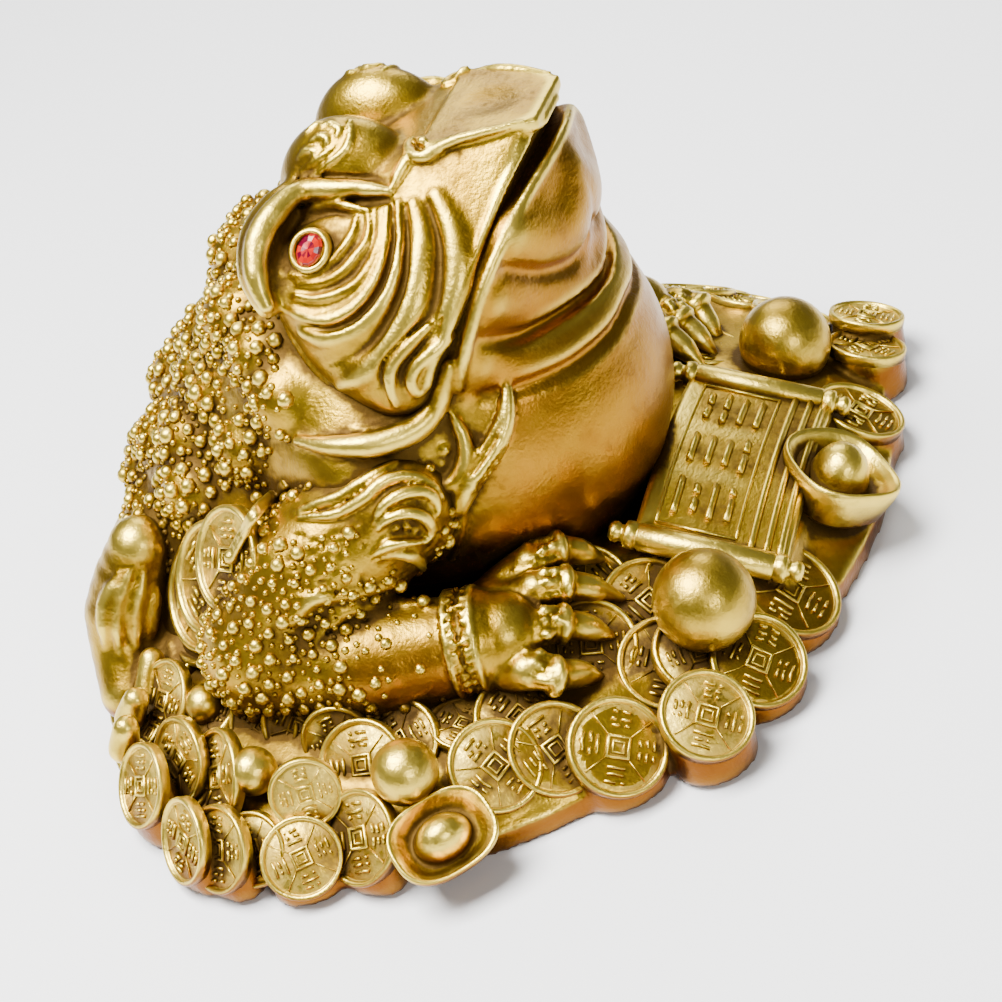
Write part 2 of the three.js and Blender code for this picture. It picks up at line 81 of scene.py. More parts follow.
# The toad's body: the torso, the throat and the lower lip of the one brass casting. It is
# worked like clay: signed distances on a grid, in millimetres, negative inside. The grid is
# half of the toad, from its middle plane to its left, and is doubled when it is done.
BODY_CELL = 0.5
FAR = 9.0
MARGIN = 2.5
SLOPE_STEP = 0.7
NEAR_SKIN = 2.2
SIGHT_REACH = np.arange(215, 400, 0.25)    # how far from the eye the toad can be
GOLDEN_TURN = math.pi * (3 - math.sqrt(5))
LOWER_LIP = [(24.6, -11.6, 43.6), (23.8, -13.2, 48), (20.8, -15.6, 54.4), (17.2, -18.4, 59.4),
             (12, -20.4, 62.8), (6.5, -21.8, 65)]
CHIN = [(3, -23.2, 62.8), (9, -21.6, 60), (4, -23.4, 56), (12, -20, 54), (5, -24, 50)]
THROAT_FILL, THROAT_FILL_RADIUS = (12, -6, 46), 11
TORSO = [
    # middle, radii and blend of each mass
    ((0, 32, 5), (34, 18, 24.5), 0), ((0, 23, 21), (29.5, 21.5, 20), 5), ((0, 7.5, 30), (28.8, 26, 29), 5),
    ((0, -1.6, 28.3), (26.6, 26.4, 25.9), 4), ((0, 3, 34), (33, 14, 14), 5),
]
THROAT_CREASES = [
    [(506, 270), (540, 272), (570, 262), (588, 240), (594, 208)],
    [(480, 340), (515, 336), (554, 316), (590, 290), (608, 262), (612, 238)],
    [(484, 396), (524, 386), (572, 364), (610, 330), (626, 292), (626, 258)],
]
THROAT_ROLLS = [
    [(520, 236), (548, 238), (568, 226), (578, 196), (576, 168)],
    [(500, 304), (536, 304), (574, 290), (598, 264), (606, 226)],
    [(486, 366), (522, 360), (566, 340), (602, 312), (620, 276), (620, 245)],
]
JAW_ROLL = [(450, 364), (444, 384), (436, 403), (418, 425), (392, 439), (366, 446), (330, 446), (300, 440)]
JAW_CREASE = [(426, 392), (414, 405), (396, 420), (373, 429), (352, 428)]
LEAF = [(456, 500), (468, 478), (484, 458), (498, 436), (505, 414), (506, 392), (504, 371)]
LEAF_GROOVES = [[(464, 474), (480, 453), (493, 432), (500, 410), (501, 392)],
                [(470, 486), (487, 466), (502, 444)]]
SMALL_LEAF = [(436, 486), (454, 477), (464, 458), (463, 438), (455, 420), (449, 406)]
PEARLS = [((445, 449), 0.75), ((441, 463), 0.65), ((430, 453), 0.45), ((422, 460), 0.4)]
STRANDS = [[(452, 514), (447, 534), (439, 556)], [(462, 508), (459, 530), (452, 556)],
           [(441, 512), (436, 530), (428, 548)]]
LUMPS = [
    # pixel, radius
    ((228, 312), 5.2), ((250, 352), 4.6), ((276, 398), 5.0), ((181, 436), 5.4), ((239, 452), 4.6),
    ((140, 468), 4.6), ((183, 488), 4.8), ((153, 527), 4.4), ((205, 392), 3.6),
]
HIDDEN_LUMPS = [
    ((3, 25, 53), 5.4), ((5, 35, 43), 5.0), ((2, 42, 34), 5.2), ((9, 43, 26), 4.6), ((20, 40, 22), 4.8),
    ((24, 36, 12), 4.6), ((12, 48, 16), 4.8), ((13, 32, 41), 4.2), ((14, 22, 49), 4.6),
    ((15, 40, 32), 4.4),
]


def soft_min(a, b, blend):
    """The smaller of two distances, rounded off where they come close."""
    if blend <= 0:
        return np.minimum(a, b)
    share = np.clip(0.5 + 0.5 * (b - a) / blend, 0, 1)
    return b + (a - b) * share - blend * share * (1 - share)


def spaced(values, count):
    """A list of values spread evenly over a count of places."""
    return np.interp(np.linspace(0, 1, count), np.linspace(0, 1, len(values)), values)


def ramp(values, start, width):
    """Goes from 0 to 1 as the values go from a start over a width, which can be negative."""
    return np.clip((values - start) / width, 0, 1)


def unit(vector):
    return vector / np.linalg.norm(vector)


def left_half(points):
    """The same places, on the toad's left."""
    return np.abs(points) * (1, 0, 0) + points * (0, 1, 1)


def cut_out(axes, low, high):
    """The slices of a grid's axes that a box takes up."""
    return tuple(slice(int(np.searchsorted(axis, a)), int(np.searchsorted(axis, b, "right")))
                 for axis, a, b in zip(axes, low, high))


class Clay:
    def __init__(self, low, high, cell, halved=True, mirrored=True):
        self.cell = cell
        self.halved = halved
        self.flip = np.array((-1, 1, 1)) if mirrored else np.ones(3)
        counts = [int(math.ceil((b - a) / cell)) + 1 for a, b in zip(low, high)]
        self.axes = [a + cell * np.arange(count) for a, count in zip(low, counts)]
        self.field = np.full(counts, FAR, np.float32)
        self.skin = None

    def settle(self):
        """Keeps the skin as it is now, for the places of the finer lines on it."""
        self.skin = self.field.copy()

    def press(self, shape, blend=0.0, sign=1):
        """Adds a shape, with a soft blend where it meets the rest. With a sign of -1 it is cut out."""
        reach = blend + MARGIN
        cuts = cut_out(self.axes, shape.low - reach, shape.high + reach)
        here = self.field[cuts]
        if here.size:
            places = np.meshgrid(*(a[cut] for a, cut in zip(self.axes, cuts)), indexing="ij", sparse=True)
            self.field[cuts] = sign * soft_min(sign * here, shape.distance(*places), blend)

    def carve(self, shape, blend):
        self.press(shape, blend, -1)

    def depth(self, points):
        """Distance of points from the settled skin, read between the grid's places."""
        field = self.field if self.skin is None else self.skin
        points = left_half(points) if self.halved else points
        steps = [(points[:, i] - self.axes[i][0]) / self.cell for i in range(3)]
        bases = [np.clip(s.astype(int), 0, len(a) - 2) for s, a in zip(steps, self.axes)]
        rests = [np.clip(s - b, 0, 1) for s, b in zip(steps, bases)]
        total = 0.0
        for corner in range(8):
            bits = [(corner >> i) & 1 for i in range(3)]
            weight = 1.0
            for bit, rest in zip(bits, rests):
                weight = weight * (rest if bit else 1 - rest)
            total = total + weight * field[tuple(b + bit for b, bit in zip(bases, bits))]
        return total

    def slope(self, points):
        step = np.eye(3) * SLOPE_STEP
        slope = np.stack([self.depth(points + s) - self.depth(points - s) for s in step], 1)
        return slope / (np.linalg.norm(slope, axis=1, keepdims=True) + 1e-9)

    def snapped(self, line):
        for _ in range(8):
            line = line - self.slope(line) * np.clip(self.depth(line), -1, 1)[:, None]
        return line

    def snap(self, points):
        """A smooth line through points, moved onto the skin."""
        return self.snapped(smooth_line(points, 0.6))

    def under(self, place, radius, share=1.0):
        """The place that lies under the skin's place by a share of a radius."""
        return place - self.slope(place[None])[0] * radius * share

    def spot(self, pixel):
        """The place on the skin at a pixel, or else the place nearest to its sight line."""
        eye, ray = sight(pixel)
        path = eye * self.flip + ray * self.flip * SIGHT_REACH[:, None]
        depths = self.depth(path)
        inside = np.nonzero(depths < 0)[0]
        return path[inside[0]] if len(inside) else path[np.argmin(depths)]

    def seen(self, pixels, gap=4):
        """The places on the skin that the picture shows along a smooth line of pixels."""
        places = np.array([self.spot(pixel) for pixel in smooth_line(pixels, gap)])
        return self.snapped(places[np.abs(self.depth(places)) < NEAR_SKIN])

    def on_skin(self, line, radii):
        """A line's places on the skin and their radii. The line can also be one of pixels."""
        line = self.seen(line) if len(line[0]) == 2 else line
        return line, spaced(radii, len(line))

    def ridge(self, line, radii, rise, blend):
        """A roll along a line on the skin. It stands proud by a share of its radius."""
        line, radii = self.on_skin(line, radii)
        sunk = line - self.slope(line) * ((1 - 2 * rise) * radii)[:, None]
        self.press(roll(sunk, radii, curved=False), blend)

    def groove(self, line, radii, rise, blend, opened=0.0):
        """A furrow along a line on the skin, also cut through what was raised over it."""
        line, radii = self.on_skin(line, radii)
        lifted = line + self.slope(line) * ((1 - 2 * rise) * radii)[:, None]
        for lift in (0, opened / 2, opened) if opened else (0,):
            self.carve(roll(lifted + self.slope(line) * lift, radii, curved=False), blend)

    def polygons(self):
        field = self.field
        low = [axis[0] for axis in self.axes]
        if self.halved:
            field = np.concatenate([field[:0:-1], field])
            low[0] = -self.axes[0][-1]
        field = np.pad(np.clip(field, -FAR, FAR), 1, constant_values=FAR)
        grid = openvdb.FloatGrid(background=FAR)
        grid.copyFromArray(np.ascontiguousarray(field))
        grid.transform = openvdb.createLinearTransform(voxelSize=self.cell)
        points, _, quads = grid.convertToPolygons(isovalue=0.0, adaptivity=0.0)
        points = points + np.array(low) - self.cell
        points[:, 2] = np.maximum(points[:, 2], 0)
        return points, quads


class Shape:
    """Something to press into clay: the box round it, and its distance from places."""
    def __init__(self, low, high, distance):
        self.low = np.array(low, float)
        self.high = np.array(high, float)
        self.distance = distance


def sight(pixel):
    """The eye and the direction of the picture's line of sight at a pixel."""
    right, up = (pixel[0] - PICTURE / 2) / FOCAL_PIXELS, (PICTURE / 2 - pixel[1]) / FOCAL_PIXELS
    ray = np.array(picture_right) * right + np.array(picture_up) * up - np.array(backward)
    return VIEW_TARGET - MIDDLE + np.array(backward) * VIEW_DISTANCE, ray


def on_level(pixel, level):
    """The place at a height above the ground that the picture shows at a pixel."""
    eye, ray = sight(pixel)
    return eye + ray * (level - eye[2]) / ray[2]


def on_plane(pixel, place, normal, flip=1):
    """The place on a plane that the picture shows at a pixel."""
    eye, ray = (each * flip for each in sight(pixel))
    return eye + ray * ((place - eye) @ normal) / (ray @ normal)


def egg(centre, radii):
    """A ball, or an egg if it has three radii."""
    centre = np.array(centre, float)
    radii = np.array(radii, float) * np.ones(3)

    def distance(x, y, z):
        u, v, w = [(p - c) / r for p, c, r in zip((x, y, z), centre, radii)]
        inner = np.sqrt(u * u + v * v + w * w) + 1e-6
        outer = np.sqrt((u / radii[0]) ** 2 + (v / radii[1]) ** 2 + (w / radii[2]) ** 2) + 1e-6
        return (inner * (inner - 1) / outer).astype(np.float32)

    return Shape(centre - radii, centre + radii, distance)


def smooth_line(points, gap):
    """Points along a smooth curve through the given ones, about gap apart."""
    points = np.array(points, float)
    padded = np.concatenate([[2 * points[0] - points[1]], points, [2 * points[-1] - points[-2]]])
    line = []
    for a, b, c, d in zip(padded, padded[1:], padded[2:], padded[3:]):
        count = max(1, int(math.ceil(np.linalg.norm(c - b) / gap)))
        for t in np.arange(count) / count:
            line.append(
                0.5 * (2 * b + (c - a) * t + (2 * a - 5 * b + 4 * c - d) * t * t
                       + (3 * b - a - 3 * c + d) * t ** 3)
            )
    return np.array(line + [points[-1]])


def roll(points, radii, curved=True):
    """A tube with round ends along a curve. Its radius follows a list of values."""
    radii = np.atleast_1d(np.array(radii, float))
    line = smooth_line(points, max(0.7, 0.6 * radii.max())) if curved else np.array(points, float)
    widths = spaced(radii * np.ones(max(2, len(radii))), len(line))

    def distance(x, y, z):
        best = np.full(np.broadcast(x, y, z).shape, FAR, np.float32)
        axes = [x[:, 0, 0], y[0, :, 0], z[0, 0, :]]
        for a, b, ra, rb in zip(line, line[1:], widths, widths[1:]):
            wide = max(ra, rb)
            cuts = cut_out(axes, np.minimum(a, b) - wide - MARGIN, np.maximum(a, b) + wide + MARGIN)
            if not best[cuts].size:
                continue
            p = x[cuts[0]] - a[0]
            q = y[:, cuts[1]] - a[1]
            r = z[:, :, cuts[2]] - a[2]
            span = b - a
            along = np.clip((p * span[0] + q * span[1] + r * span[2]) / (span @ span + 1e-9), 0, 1)
            away = np.sqrt(
                (p - along * span[0]) ** 2 + (q - along * span[1]) ** 2 + (r - along * span[2]) ** 2
            )
            best[cuts] = np.minimum(best[cuts], away - (ra + along * (rb - ra)))
        return best

    reach = widths.max()
    return Shape(line.min(0) - reach, line.max(0) + reach, distance)


def hull(points, softness):
    """The tightest skin round points, with its edges softened."""
    shell = bmesh.new()
    for point in points:
        shell.verts.new(point)
    bmesh.ops.convex_hull(shell, input=shell.verts)
    middle = np.mean(np.array(points, float), axis=0)
    planes = []
    for face in shell.faces:
        if face.calc_area() < 1e-4:
            continue
        normal = np.array(face.normal)
        level = normal @ np.array(face.verts[0].co)
        if normal @ middle > level:
            normal, level = -normal, -level
        planes.append((*normal, level))
    shell.free()
    planes = np.unique(np.round(planes, 3), axis=0)

    def distance(x, y, z):
        total = 0.0
        for a, b, c, level in planes:
            total = total + np.exp(np.minimum((a * x + b * y + c * z - level) / softness, 40))
        return (softness * np.log(total)).astype(np.float32)

    points = np.array(points, float)
    return Shape(points.min(0) - softness, points.max(0) + softness, distance)


def both_sides(points):
    """Each place and its mirror image."""
    return [p for x, y, z in points for p in ((x, y, z), (-x, y, z))]


def ball_points(centre, radius, count=60):
    """Places spread evenly over a ball."""
    index = np.arange(count) + 0.5
    level = 1 - 2 * index / count
    round_it = index * GOLDEN_TURN
    ring = np.sqrt(1 - level * level)
    out = np.stack([ring * np.cos(round_it), ring * np.sin(round_it), level], 1)
    return (np.array(centre) + radius * out).tolist()


brass = bpy.data.materials.new("brass")
brass_pieces = []


def brass_piece(name, points, faces):
    """A piece of the one casting, from places in the toad's millimetres."""
    mesh = bpy.data.meshes.new(name)
    places = (np.array(points) + MIDDLE) * MM
    mesh.from_pydata(places.tolist(), [], [tuple(face) for face in faces])
    mesh.materials.append(brass)
    return brass_mesh(name, mesh)


def brass_mesh(name, mesh):
    mesh.polygons.foreach_set("use_smooth", np.ones(len(mesh.polygons), bool))
    piece = bpy.data.objects.new(name, mesh)
    bpy.context.scene.collection.objects.link(piece)
    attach(piece, "root")
    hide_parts("money_toad")
    brass_pieces.append(piece)
    return piece


body = Clay((0, -37, 0), (45, 57, 68), BODY_CELL)
for middle, radii, blend in TORSO:
    body.press(egg(middle, radii), blend)
throat_fill = ball_points(THROAT_FILL, THROAT_FILL_RADIUS)
throat_fill += ball_points(THROAT_FILL * body.flip, THROAT_FILL_RADIUS)
body.press(hull(both_sides(LOWER_LIP + CHIN) + throat_fill, 0.8), 4)
body.settle()
lumps = []
for pixel, radius in LUMPS:
    lumps.append((body.spot(pixel), radius))
for place, radius in HIDDEN_LUMPS:
    lumps.append((body.snap([place, np.array(place) + 0.1])[0], radius))
for place, radius in lumps:
    body.press(egg(body.under(place, radius, 0.54), radius), 1.4)
# The folds of the throat, the jaw, the leaf of skin beside it with its pearls, and the lip.
for line in THROAT_ROLLS:
    body.ridge(line, [2.0, 3.4, 3.6, 3.0, 1.8], 0.1, 3.0)
for line in THROAT_CREASES:
    body.groove(line, [0.2, 0.5, 0.6, 0.5, 0.2], 0.3, 1.6)
body.ridge(JAW_ROLL, [1.0, 1.4, 1.6, 1.7, 1.6, 1.2, 0.6], 0.8, 0.4)
body.ridge(JAW_CREASE, [0.4, 0.6, 0.6, 0.3], 0.6, 0.3)
body.ridge(LEAF, [1.5, 1.6, 1.6, 1.5, 1.25, 0.85, 0.3], 0.8, 0.3)
body.ridge(SMALL_LEAF, [0.9, 1.2, 1.2, 1.0, 0.8, 0.3], 0.8, 0.3)
for line in LEAF_GROOVES:
    line = body.seen(line)
    body.carve(roll(line + body.slope(line) * 1.9, [0.2, 0.5, 0.5, 0.2], curved=False), 0.1)
for pixel, radius in PEARLS:
    body.press(egg(body.spot(pixel), radius), 0.1)
for line in STRANDS:
    body.ridge(line, [0.7, 0.8, 0.6], 0.6, 0.3)
body.ridge(body.snap(LOWER_LIP + [(0, -22.4, 65.8)]), [0.9, 0.75, 0.6], 0.55, 0.3)
toad_body = brass_piece("toad_body", *body.polygons())


# The toad's head: a flat snout, the brow and the lids round the eye, folds of skin on the
# cheek and two domes between the eyes. It is part of the same casting as the body.
HEAD_CELL = 0.36
UPPER_LIP = [(24.5, -7.6, 46.5), (24.4, -9.6, 49), (22.6, -13, 53), (19.6, -14.6, 56.8),
             (16, -16.4, 60), (11.8, -18, 63.2), (7, -19.8, 65.8), (3, -21, 67.4)]
SNOUT_TOP = [(9, -7.5, 68.6), (7.5, -15, 69), (5, -21.4, 69)]
HEAD_ROUNDS = [((18.5, 1.5, 50), 8.2), ((13, 3.5, 56.4), 6.8), ((6, 8.5, 53.5), 10),
               ((21.4, -3.4, 45.8), 6.8), ((17.6, 8.4, 57), 4.2)]
DOME, SNOUT_HOLLOW = ((6.0, 3.2, 60.3), (6.4, 9.7, 10.8)), ((0, -13.6, 74.5), (7.6, 8.6, 5.9))
EYE = (19.9, 4.3, 62)
EYE_OUT = np.array((0.74, -0.12, 0.66))
BROW = [(392, 192), (376, 191), (358, 190), (334, 188), (309, 189), (290, 197), (276, 211), (264, 228),
        (257, 248), (256, 270), (260, 290), (267, 306)]
BROW_SHADE = [(388, 200), (360, 201), (333, 200), (312, 203), (298, 211), (286, 225), (277, 243),
              (274, 262)]
BROW_EDGE = [(395, 186), (382, 180), (358, 177), (330, 176), (300, 178), (284, 184)]
UPPER_LID = [(369, 211), (353, 208), (335, 206), (315, 210), (298, 218), (287, 230), (281, 246),
             (280, 262), (284, 276)]
LID_SHADE = [(350, 215), (335, 213), (318, 217), (303, 225)]
REAR_LID = [(289, 236), (286, 250), (286, 264)]
LOWER_LIDS = [
    [(357, 217), (352, 237), (339, 255), (327, 267), (309, 277), (291, 275)],
    [(369, 212), (368, 239), (352, 263), (336, 277), (318, 284), (298, 284)],
    [(380, 208), (379, 245), (362, 279), (339, 294), (316, 299), (296, 296)],
]
CHEEK_FOLDS = [
    # line, radii, rise
    ([(388, 206), (387, 245), (378, 275), (362, 300), (340, 316), (318, 321), (294, 312)],
     [0.4, 0.8, 1.0, 1.0, 0.8, 0.4], 0.4),
    ([(398, 205), (399, 236), (397, 262), (388, 291), (371, 314), (347, 331), (322, 338), (302, 332)],
     [0.6, 1.3, 1.9, 2.0, 1.9, 1.4, 0.6], 0.26),
    ([(414, 205), (421, 236), (418, 269), (408, 314), (384, 354), (361, 376), (340, 386)],
     [0.8, 1.8, 2.3, 2.4, 2.2, 1.6, 0.8], 0.24),
    ([(436, 196), (449, 222), (456, 252), (456, 285), (448, 320)], [1.0, 1.9, 2.2, 2.0, 1.4], 0.22),
]
CHEEK_CREASES = [
    ([(393, 204), (394, 240), (389, 268), (377, 296), (356, 318), (332, 328), (308, 326)],
     [0.2, 0.45, 0.6, 0.6, 0.3]),
    ([(405, 206), (408, 236), (406, 275), (396, 306), (376, 338), (354, 355), (326, 364)],
     [0.2, 0.5, 0.7, 0.7, 0.3]),
    ([(428, 204), (437, 232), (440, 259), (434, 306), (412, 338), (390, 362), (383, 382), (388, 404)],
     [0.2, 0.5, 0.8, 0.9, 0.9, 0.5]),
    ([(441, 318), (423, 343), (406, 362), (401, 380), (406, 396)], [0.3, 0.7, 0.7, 0.3]),
]
CURLS = [
    ([(429, 326), (402, 353), (391, 370), (391, 389), (396, 404)], [0.5, 0.9, 0.9, 0.4]),
    ([(450, 336), (431, 353), (417, 366), (411, 381), (417, 392), (425, 386), (428, 374)],
     [0.6, 1.0, 0.9, 0.8, 0.6, 0.4]),
]
PLATE_EDGE = [(280, 318), (288, 336), (306, 362), (324, 384), (343, 399)]
SNOUT_RIDGE = [(427, 153), (440, 146), (455, 140), (474, 135), (494, 130), (524, 122)]
NOSTRIL = [(440, 150), (430, 156), (419, 157), (411, 153), (410, 146), (416, 142), (425, 142)]
NOSTRIL_HOLE = [(418, 148), (421, 149)]
NOSTRIL_STRIP = [(411, 154), (404, 167), (397, 180), (391, 190)]
DOME_BORDER = [(300, 175), (316, 174), (328, 164), (345, 150), (350, 136), (350, 121)]
DOME_MARKS = [
    [(302, 170), (318, 160), (335, 146)],
    [(299, 158), (307, 150), (316, 152), (312, 160)],
    [(310, 142), (320, 136), (328, 140), (324, 148)],
    [(320, 126), (331, 124), (340, 130), (336, 138)],
    [(306, 134), (314, 126), (322, 122)],
]

head = Clay((0, -28, 30), (34, 24, 76), HEAD_CELL)
rounds = [place for middle, radius in HEAD_ROUNDS for place in ball_points(middle, radius)]
head.press(hull(both_sides(UPPER_LIP + SNOUT_TOP + rounds), 0.45))
head.press(egg(*DOME), 0.6)
plate = [(x * 1.04, y, z + lift) for lift in (0.2, -1.6) for x, y, z in SNOUT_TOP]
head.press(hull(both_sides(plate), 0.12))
head.carve(egg(*SNOUT_HOLLOW), 0.5)
head.settle()


def by_eye(pixels, rises):
    """Places over the eye's plane at pixels of the picture. Their rise goes through a list."""
    line = smooth_line(pixels, 4)
    return np.array([on_plane(pixel, np.array(EYE) + EYE_OUT * rise, EYE_OUT, head.flip)
                     for pixel, rise in zip(line, spaced(rises, len(line)))])


# The folds of the cheek, and the curls on them.
for line, radii, rise in CHEEK_FOLDS:
    head.ridge(line, radii, rise, 1.0)
for line, radii in CHEEK_CREASES:
    head.groove(line, 0.68 * np.array(radii), 0.35, 0.5, 1.0)
for line, radii in CURLS:
    head.ridge(line, radii, 0.5, 0.3)
head.ridge(PLATE_EDGE, [0.3, 0.7, 0.8, 0.7, 0.3], 0.45, 0.4)
# The eye: a hollow with a ball in it, between the lids and under the brow.
brow_rear = by_eye(BROW[4:], [-6.4, -4.6, -2.6, -2.2, -2.2])
head.press(roll(brow_rear, [1.2, 2.2, 2.4, 2.2, 1.4], curved=False), 2.0)
head.carve(egg(np.array(EYE) + EYE_OUT * 1.9, 3.4), 0.6)
head.press(egg(np.array(EYE) - EYE_OUT * 4.2, (3.6, 3.6, 3.4)), 0.3)
for line in LOWER_LIDS:
    head.ridge(line, [0.3, 0.65, 0.75, 0.7, 0.35], 0.5, 0.3)
head.groove(BROW_SHADE, [0.4, 0.9, 1.1, 1.2, 1.1, 0.5], 0.5, 0.6)
head.ridge(UPPER_LID, [0.3, 0.6, 0.65, 0.6, 0.55, 0.45, 0.3], 0.7, 0.2)
head.groove(LID_SHADE, [0.3, 0.4, 0.4, 0.3], 0.5, 0.1)
head.ridge(REAR_LID, [0.3, 0.4, 0.3], 0.6, 0.1)
head.ridge(BROW[:6], [0.4, 0.9, 1.2, 1.4, 1.5, 1.2], 0.66, 0.25)
brow_round = by_eye(BROW[3:], [-4.6, -3.4, -1.6, -0.4, 0.0, -0.4])
head.press(roll(brow_round, [0.6, 1.2, 1.6, 1.65, 1.45, 0.9], curved=False), 0.5)
head.groove(BROW_EDGE, [0.2, 0.35, 0.35, 0.2], 0.5, 0.15)
# The snout with its nostril, and the marks on the dome.
head.ridge(SNOUT_RIDGE, [0.7, 0.6, 0.5, 0.25], 0.6, 0.15)
head.ridge(NOSTRIL, [0.6, 0.85, 0.8, 0.6, 0.45], 0.65, 0.15)
head.ridge(NOSTRIL_STRIP, [0.8, 0.9, 0.7, 0.4], 0.45, 0.2)
head.groove(NOSTRIL_HOLE, [0.5, 0.5], 0.8, 0.1)
head.ridge(DOME_BORDER, [0.3, 0.45, 0.45, 0.3], 0.5, 0.1)
for line in DOME_MARKS:
    head.ridge(line, [0.25, 0.45, 0.45, 0.25], 0.5, 0.1)
head.ridge(head.snap(UPPER_LIP + [(0, -22.4, 67.6)]), [0.8, 0.6, 0.5], 0.5, 0.2)
brass_piece("toad_head", *head.polygons())


# The arms: muscled and warty, with a tuft of flat locks at the shoulder, a cuff at the wrist
# and four clawed fingers that hold the treasure. The left one is the right one mirrored, and
# both are cast with the body.
ARM_CELL = 0.4
SHOULDER, UPPER_ARM, ELBOW = (27.5, 0, 30), (33.6, 9, 25), (38, 16, 16)
FOREARM, WRIST = (39, 3.4, 14.8), (35.4, -9.2, 15.2)
HAND = [
    # pixel and height of each finger's root, knuckle, ring and claw tip
    [((500, 592), 15.5), ((530, 564), 18), ((556, 550), 18), ((602, 559), 14)],
    [((500, 612), 15), ((536, 590), 17.4), ((564, 585), 17), ((621, 598), 12.5)],
    [((500, 642), 13.8), ((534, 630), 15.8), ((562, 624), 15.2), ((613, 637), 11)],
    [((496, 666), 12.4), ((528, 670), 13.8), ((555, 676), 13), ((601, 677), 9)],
]
LOCKS = [
    [(396, 464), (380, 474), (364, 484), (341, 498), (322, 504), (294, 513)],
    [(440, 499), (430, 486), (407, 478), (383, 484), (364, 500), (334, 515), (294, 518)],
    [(436, 514), (435, 504), (423, 493), (402, 495), (383, 507), (374, 524)],
    [(427, 538), (430, 528), (423, 518), (407, 513), (388, 519), (376, 531)],
    [(425, 540), (412, 538), (402, 539), (386, 545), (370, 557)],
    [(422, 568), (418, 559), (409, 553), (393, 551), (378, 559)],
]
HOLLOW = [(386, 533), (396, 529), (410, 528), (421, 533)]
FOLDS = [
    [(314, 643), (328, 625), (345, 611), (372, 605), (402, 604), (440, 610)],
    [(288, 632), (298, 612), (314, 598), (336, 594)],
    [(286, 600), (300, 596), (330, 597), (372, 590), (420, 577)],
]
PITTED, PITS = (285, 440, 505, 585), 90
TUFT = ((404, 512), 5.6)
CUFF_RADIUS, CUFF_EDGES, CUFF_BEADS = 6.7, (-1.7, 1.5), ((-0.75, 0), (0.55, 1))
SCALE_TURNS = (-1.1, -0.4, 0.35, 1.05)


def nearest(points, places):
    """How far each point is from the nearest one of some places."""
    best = np.full(len(points), np.inf)
    for place in places:
        best = np.minimum(best, ((points - place) ** 2).sum(1))
    return np.sqrt(best)


arm = Clay((15, -33, 2), (52, 32, 48), ARM_CELL, halved=False)
arm.press(roll([SHOULDER, UPPER_ARM, ELBOW], [8.4, 8.8, 8.2]))
arm.press(egg(ELBOW, 8.6), 1)
arm.press(roll([ELBOW, FOREARM, WRIST], [8.2, 7.4, 5.8]), 2)
fingers = [[on_level(pixel, level) * arm.flip for pixel, level in joints] for joints in HAND]
for root, knuckle, ring, tip in fingers:
    arm.press(roll([WRIST, root, knuckle], [5.2, 3.2, 2.4]), 1)
    arm.press(roll([knuckle, ring], [2.3, 1.9]), 0.6)
arm.settle()
# The tuft of locks, the folds of skin and the pits between them.
tuft_place = arm.spot(TUFT[0])
arm.press(egg(arm.under(tuft_place, TUFT[1], 0.78), TUFT[1]), 2)
arm.settle()
lock_lines = [arm.seen(line, 3) for line in LOCKS]
for line in lock_lines:
    arm.ridge(line, [0.45, 0.75, 0.85, 0.8, 0.65, 0.2], 0.7, 0.15)
hollow = arm.seen(HOLLOW, 3)
arm.groove(hollow, [0.6, 1.3, 1.3, 0.7], 0.35, 0.2)
for place in hollow[::4]:
    arm.press(egg(arm.under(place, 0.7), 0.55), 0.05)
fold_lines = [arm.seen(line, 3) for line in FOLDS]
for line, width in zip(fold_lines, (1.3, 1.3, 0.8)):
    arm.ridge(line, [0.3, width, width, 0.9 * width, 0.3], 0.35, 0.5)
arm.settle()
chance = np.random.default_rng(4)
left, right, top, bottom = PITTED
pit_pixels = chance.uniform((left, top), (right, bottom), (PITS, 2))
pits = [arm.seen([pixel, pixel + 0.5], 3)[:1] for pixel in pit_pixels]
pits += [line[::3] + chance.uniform(-0.5, 0.5, line[::3].shape) for line in fold_lines[:2]]
for place in np.concatenate([pit for pit in pits if len(pit)]):
    if nearest(place[None], np.concatenate(lock_lines))[0] > 1.6:
        arm.carve(egg(arm.under(place, -0.1), 0.42), 0.1)
cuff_axis = unit(np.array(WRIST) - FOREARM)


def hoop(centre, axis, radius, count=24):
    """A closed ring of places round an axis."""
    side = unit(np.cross(axis, (0.3, 0.2, 1)))
    up = np.cross(side, axis)
    turns = np.arange(count + 1) * math.tau / count
    return np.array([centre + radius * (side * math.cos(t) + up * math.sin(t)) for t in turns])


# The cuff, with two rows of beads between its edges.
cuff_lines = []
for shift in CUFF_EDGES:
    cuff_lines.append(hoop(WRIST + cuff_axis * shift, cuff_axis, CUFF_RADIUS - 0.3))
    arm.press(roll(cuff_lines[-1], 0.5, curved=False), 0.1)
for shift, skipped in CUFF_BEADS:
    for place in hoop(WRIST + cuff_axis * shift, cuff_axis, CUFF_RADIUS - 0.45, 34)[skipped:-1]:
        arm.press(egg(place + chance.uniform(-0.15, 0.15, 3), 0.55), 0.05)
cuff_end = [WRIST + cuff_axis * 2.4, WRIST + cuff_axis * 3.8]
arm.press(roll(cuff_end, [CUFF_RADIUS - 0.5, CUFF_RADIUS - 1.2]), 0.3)
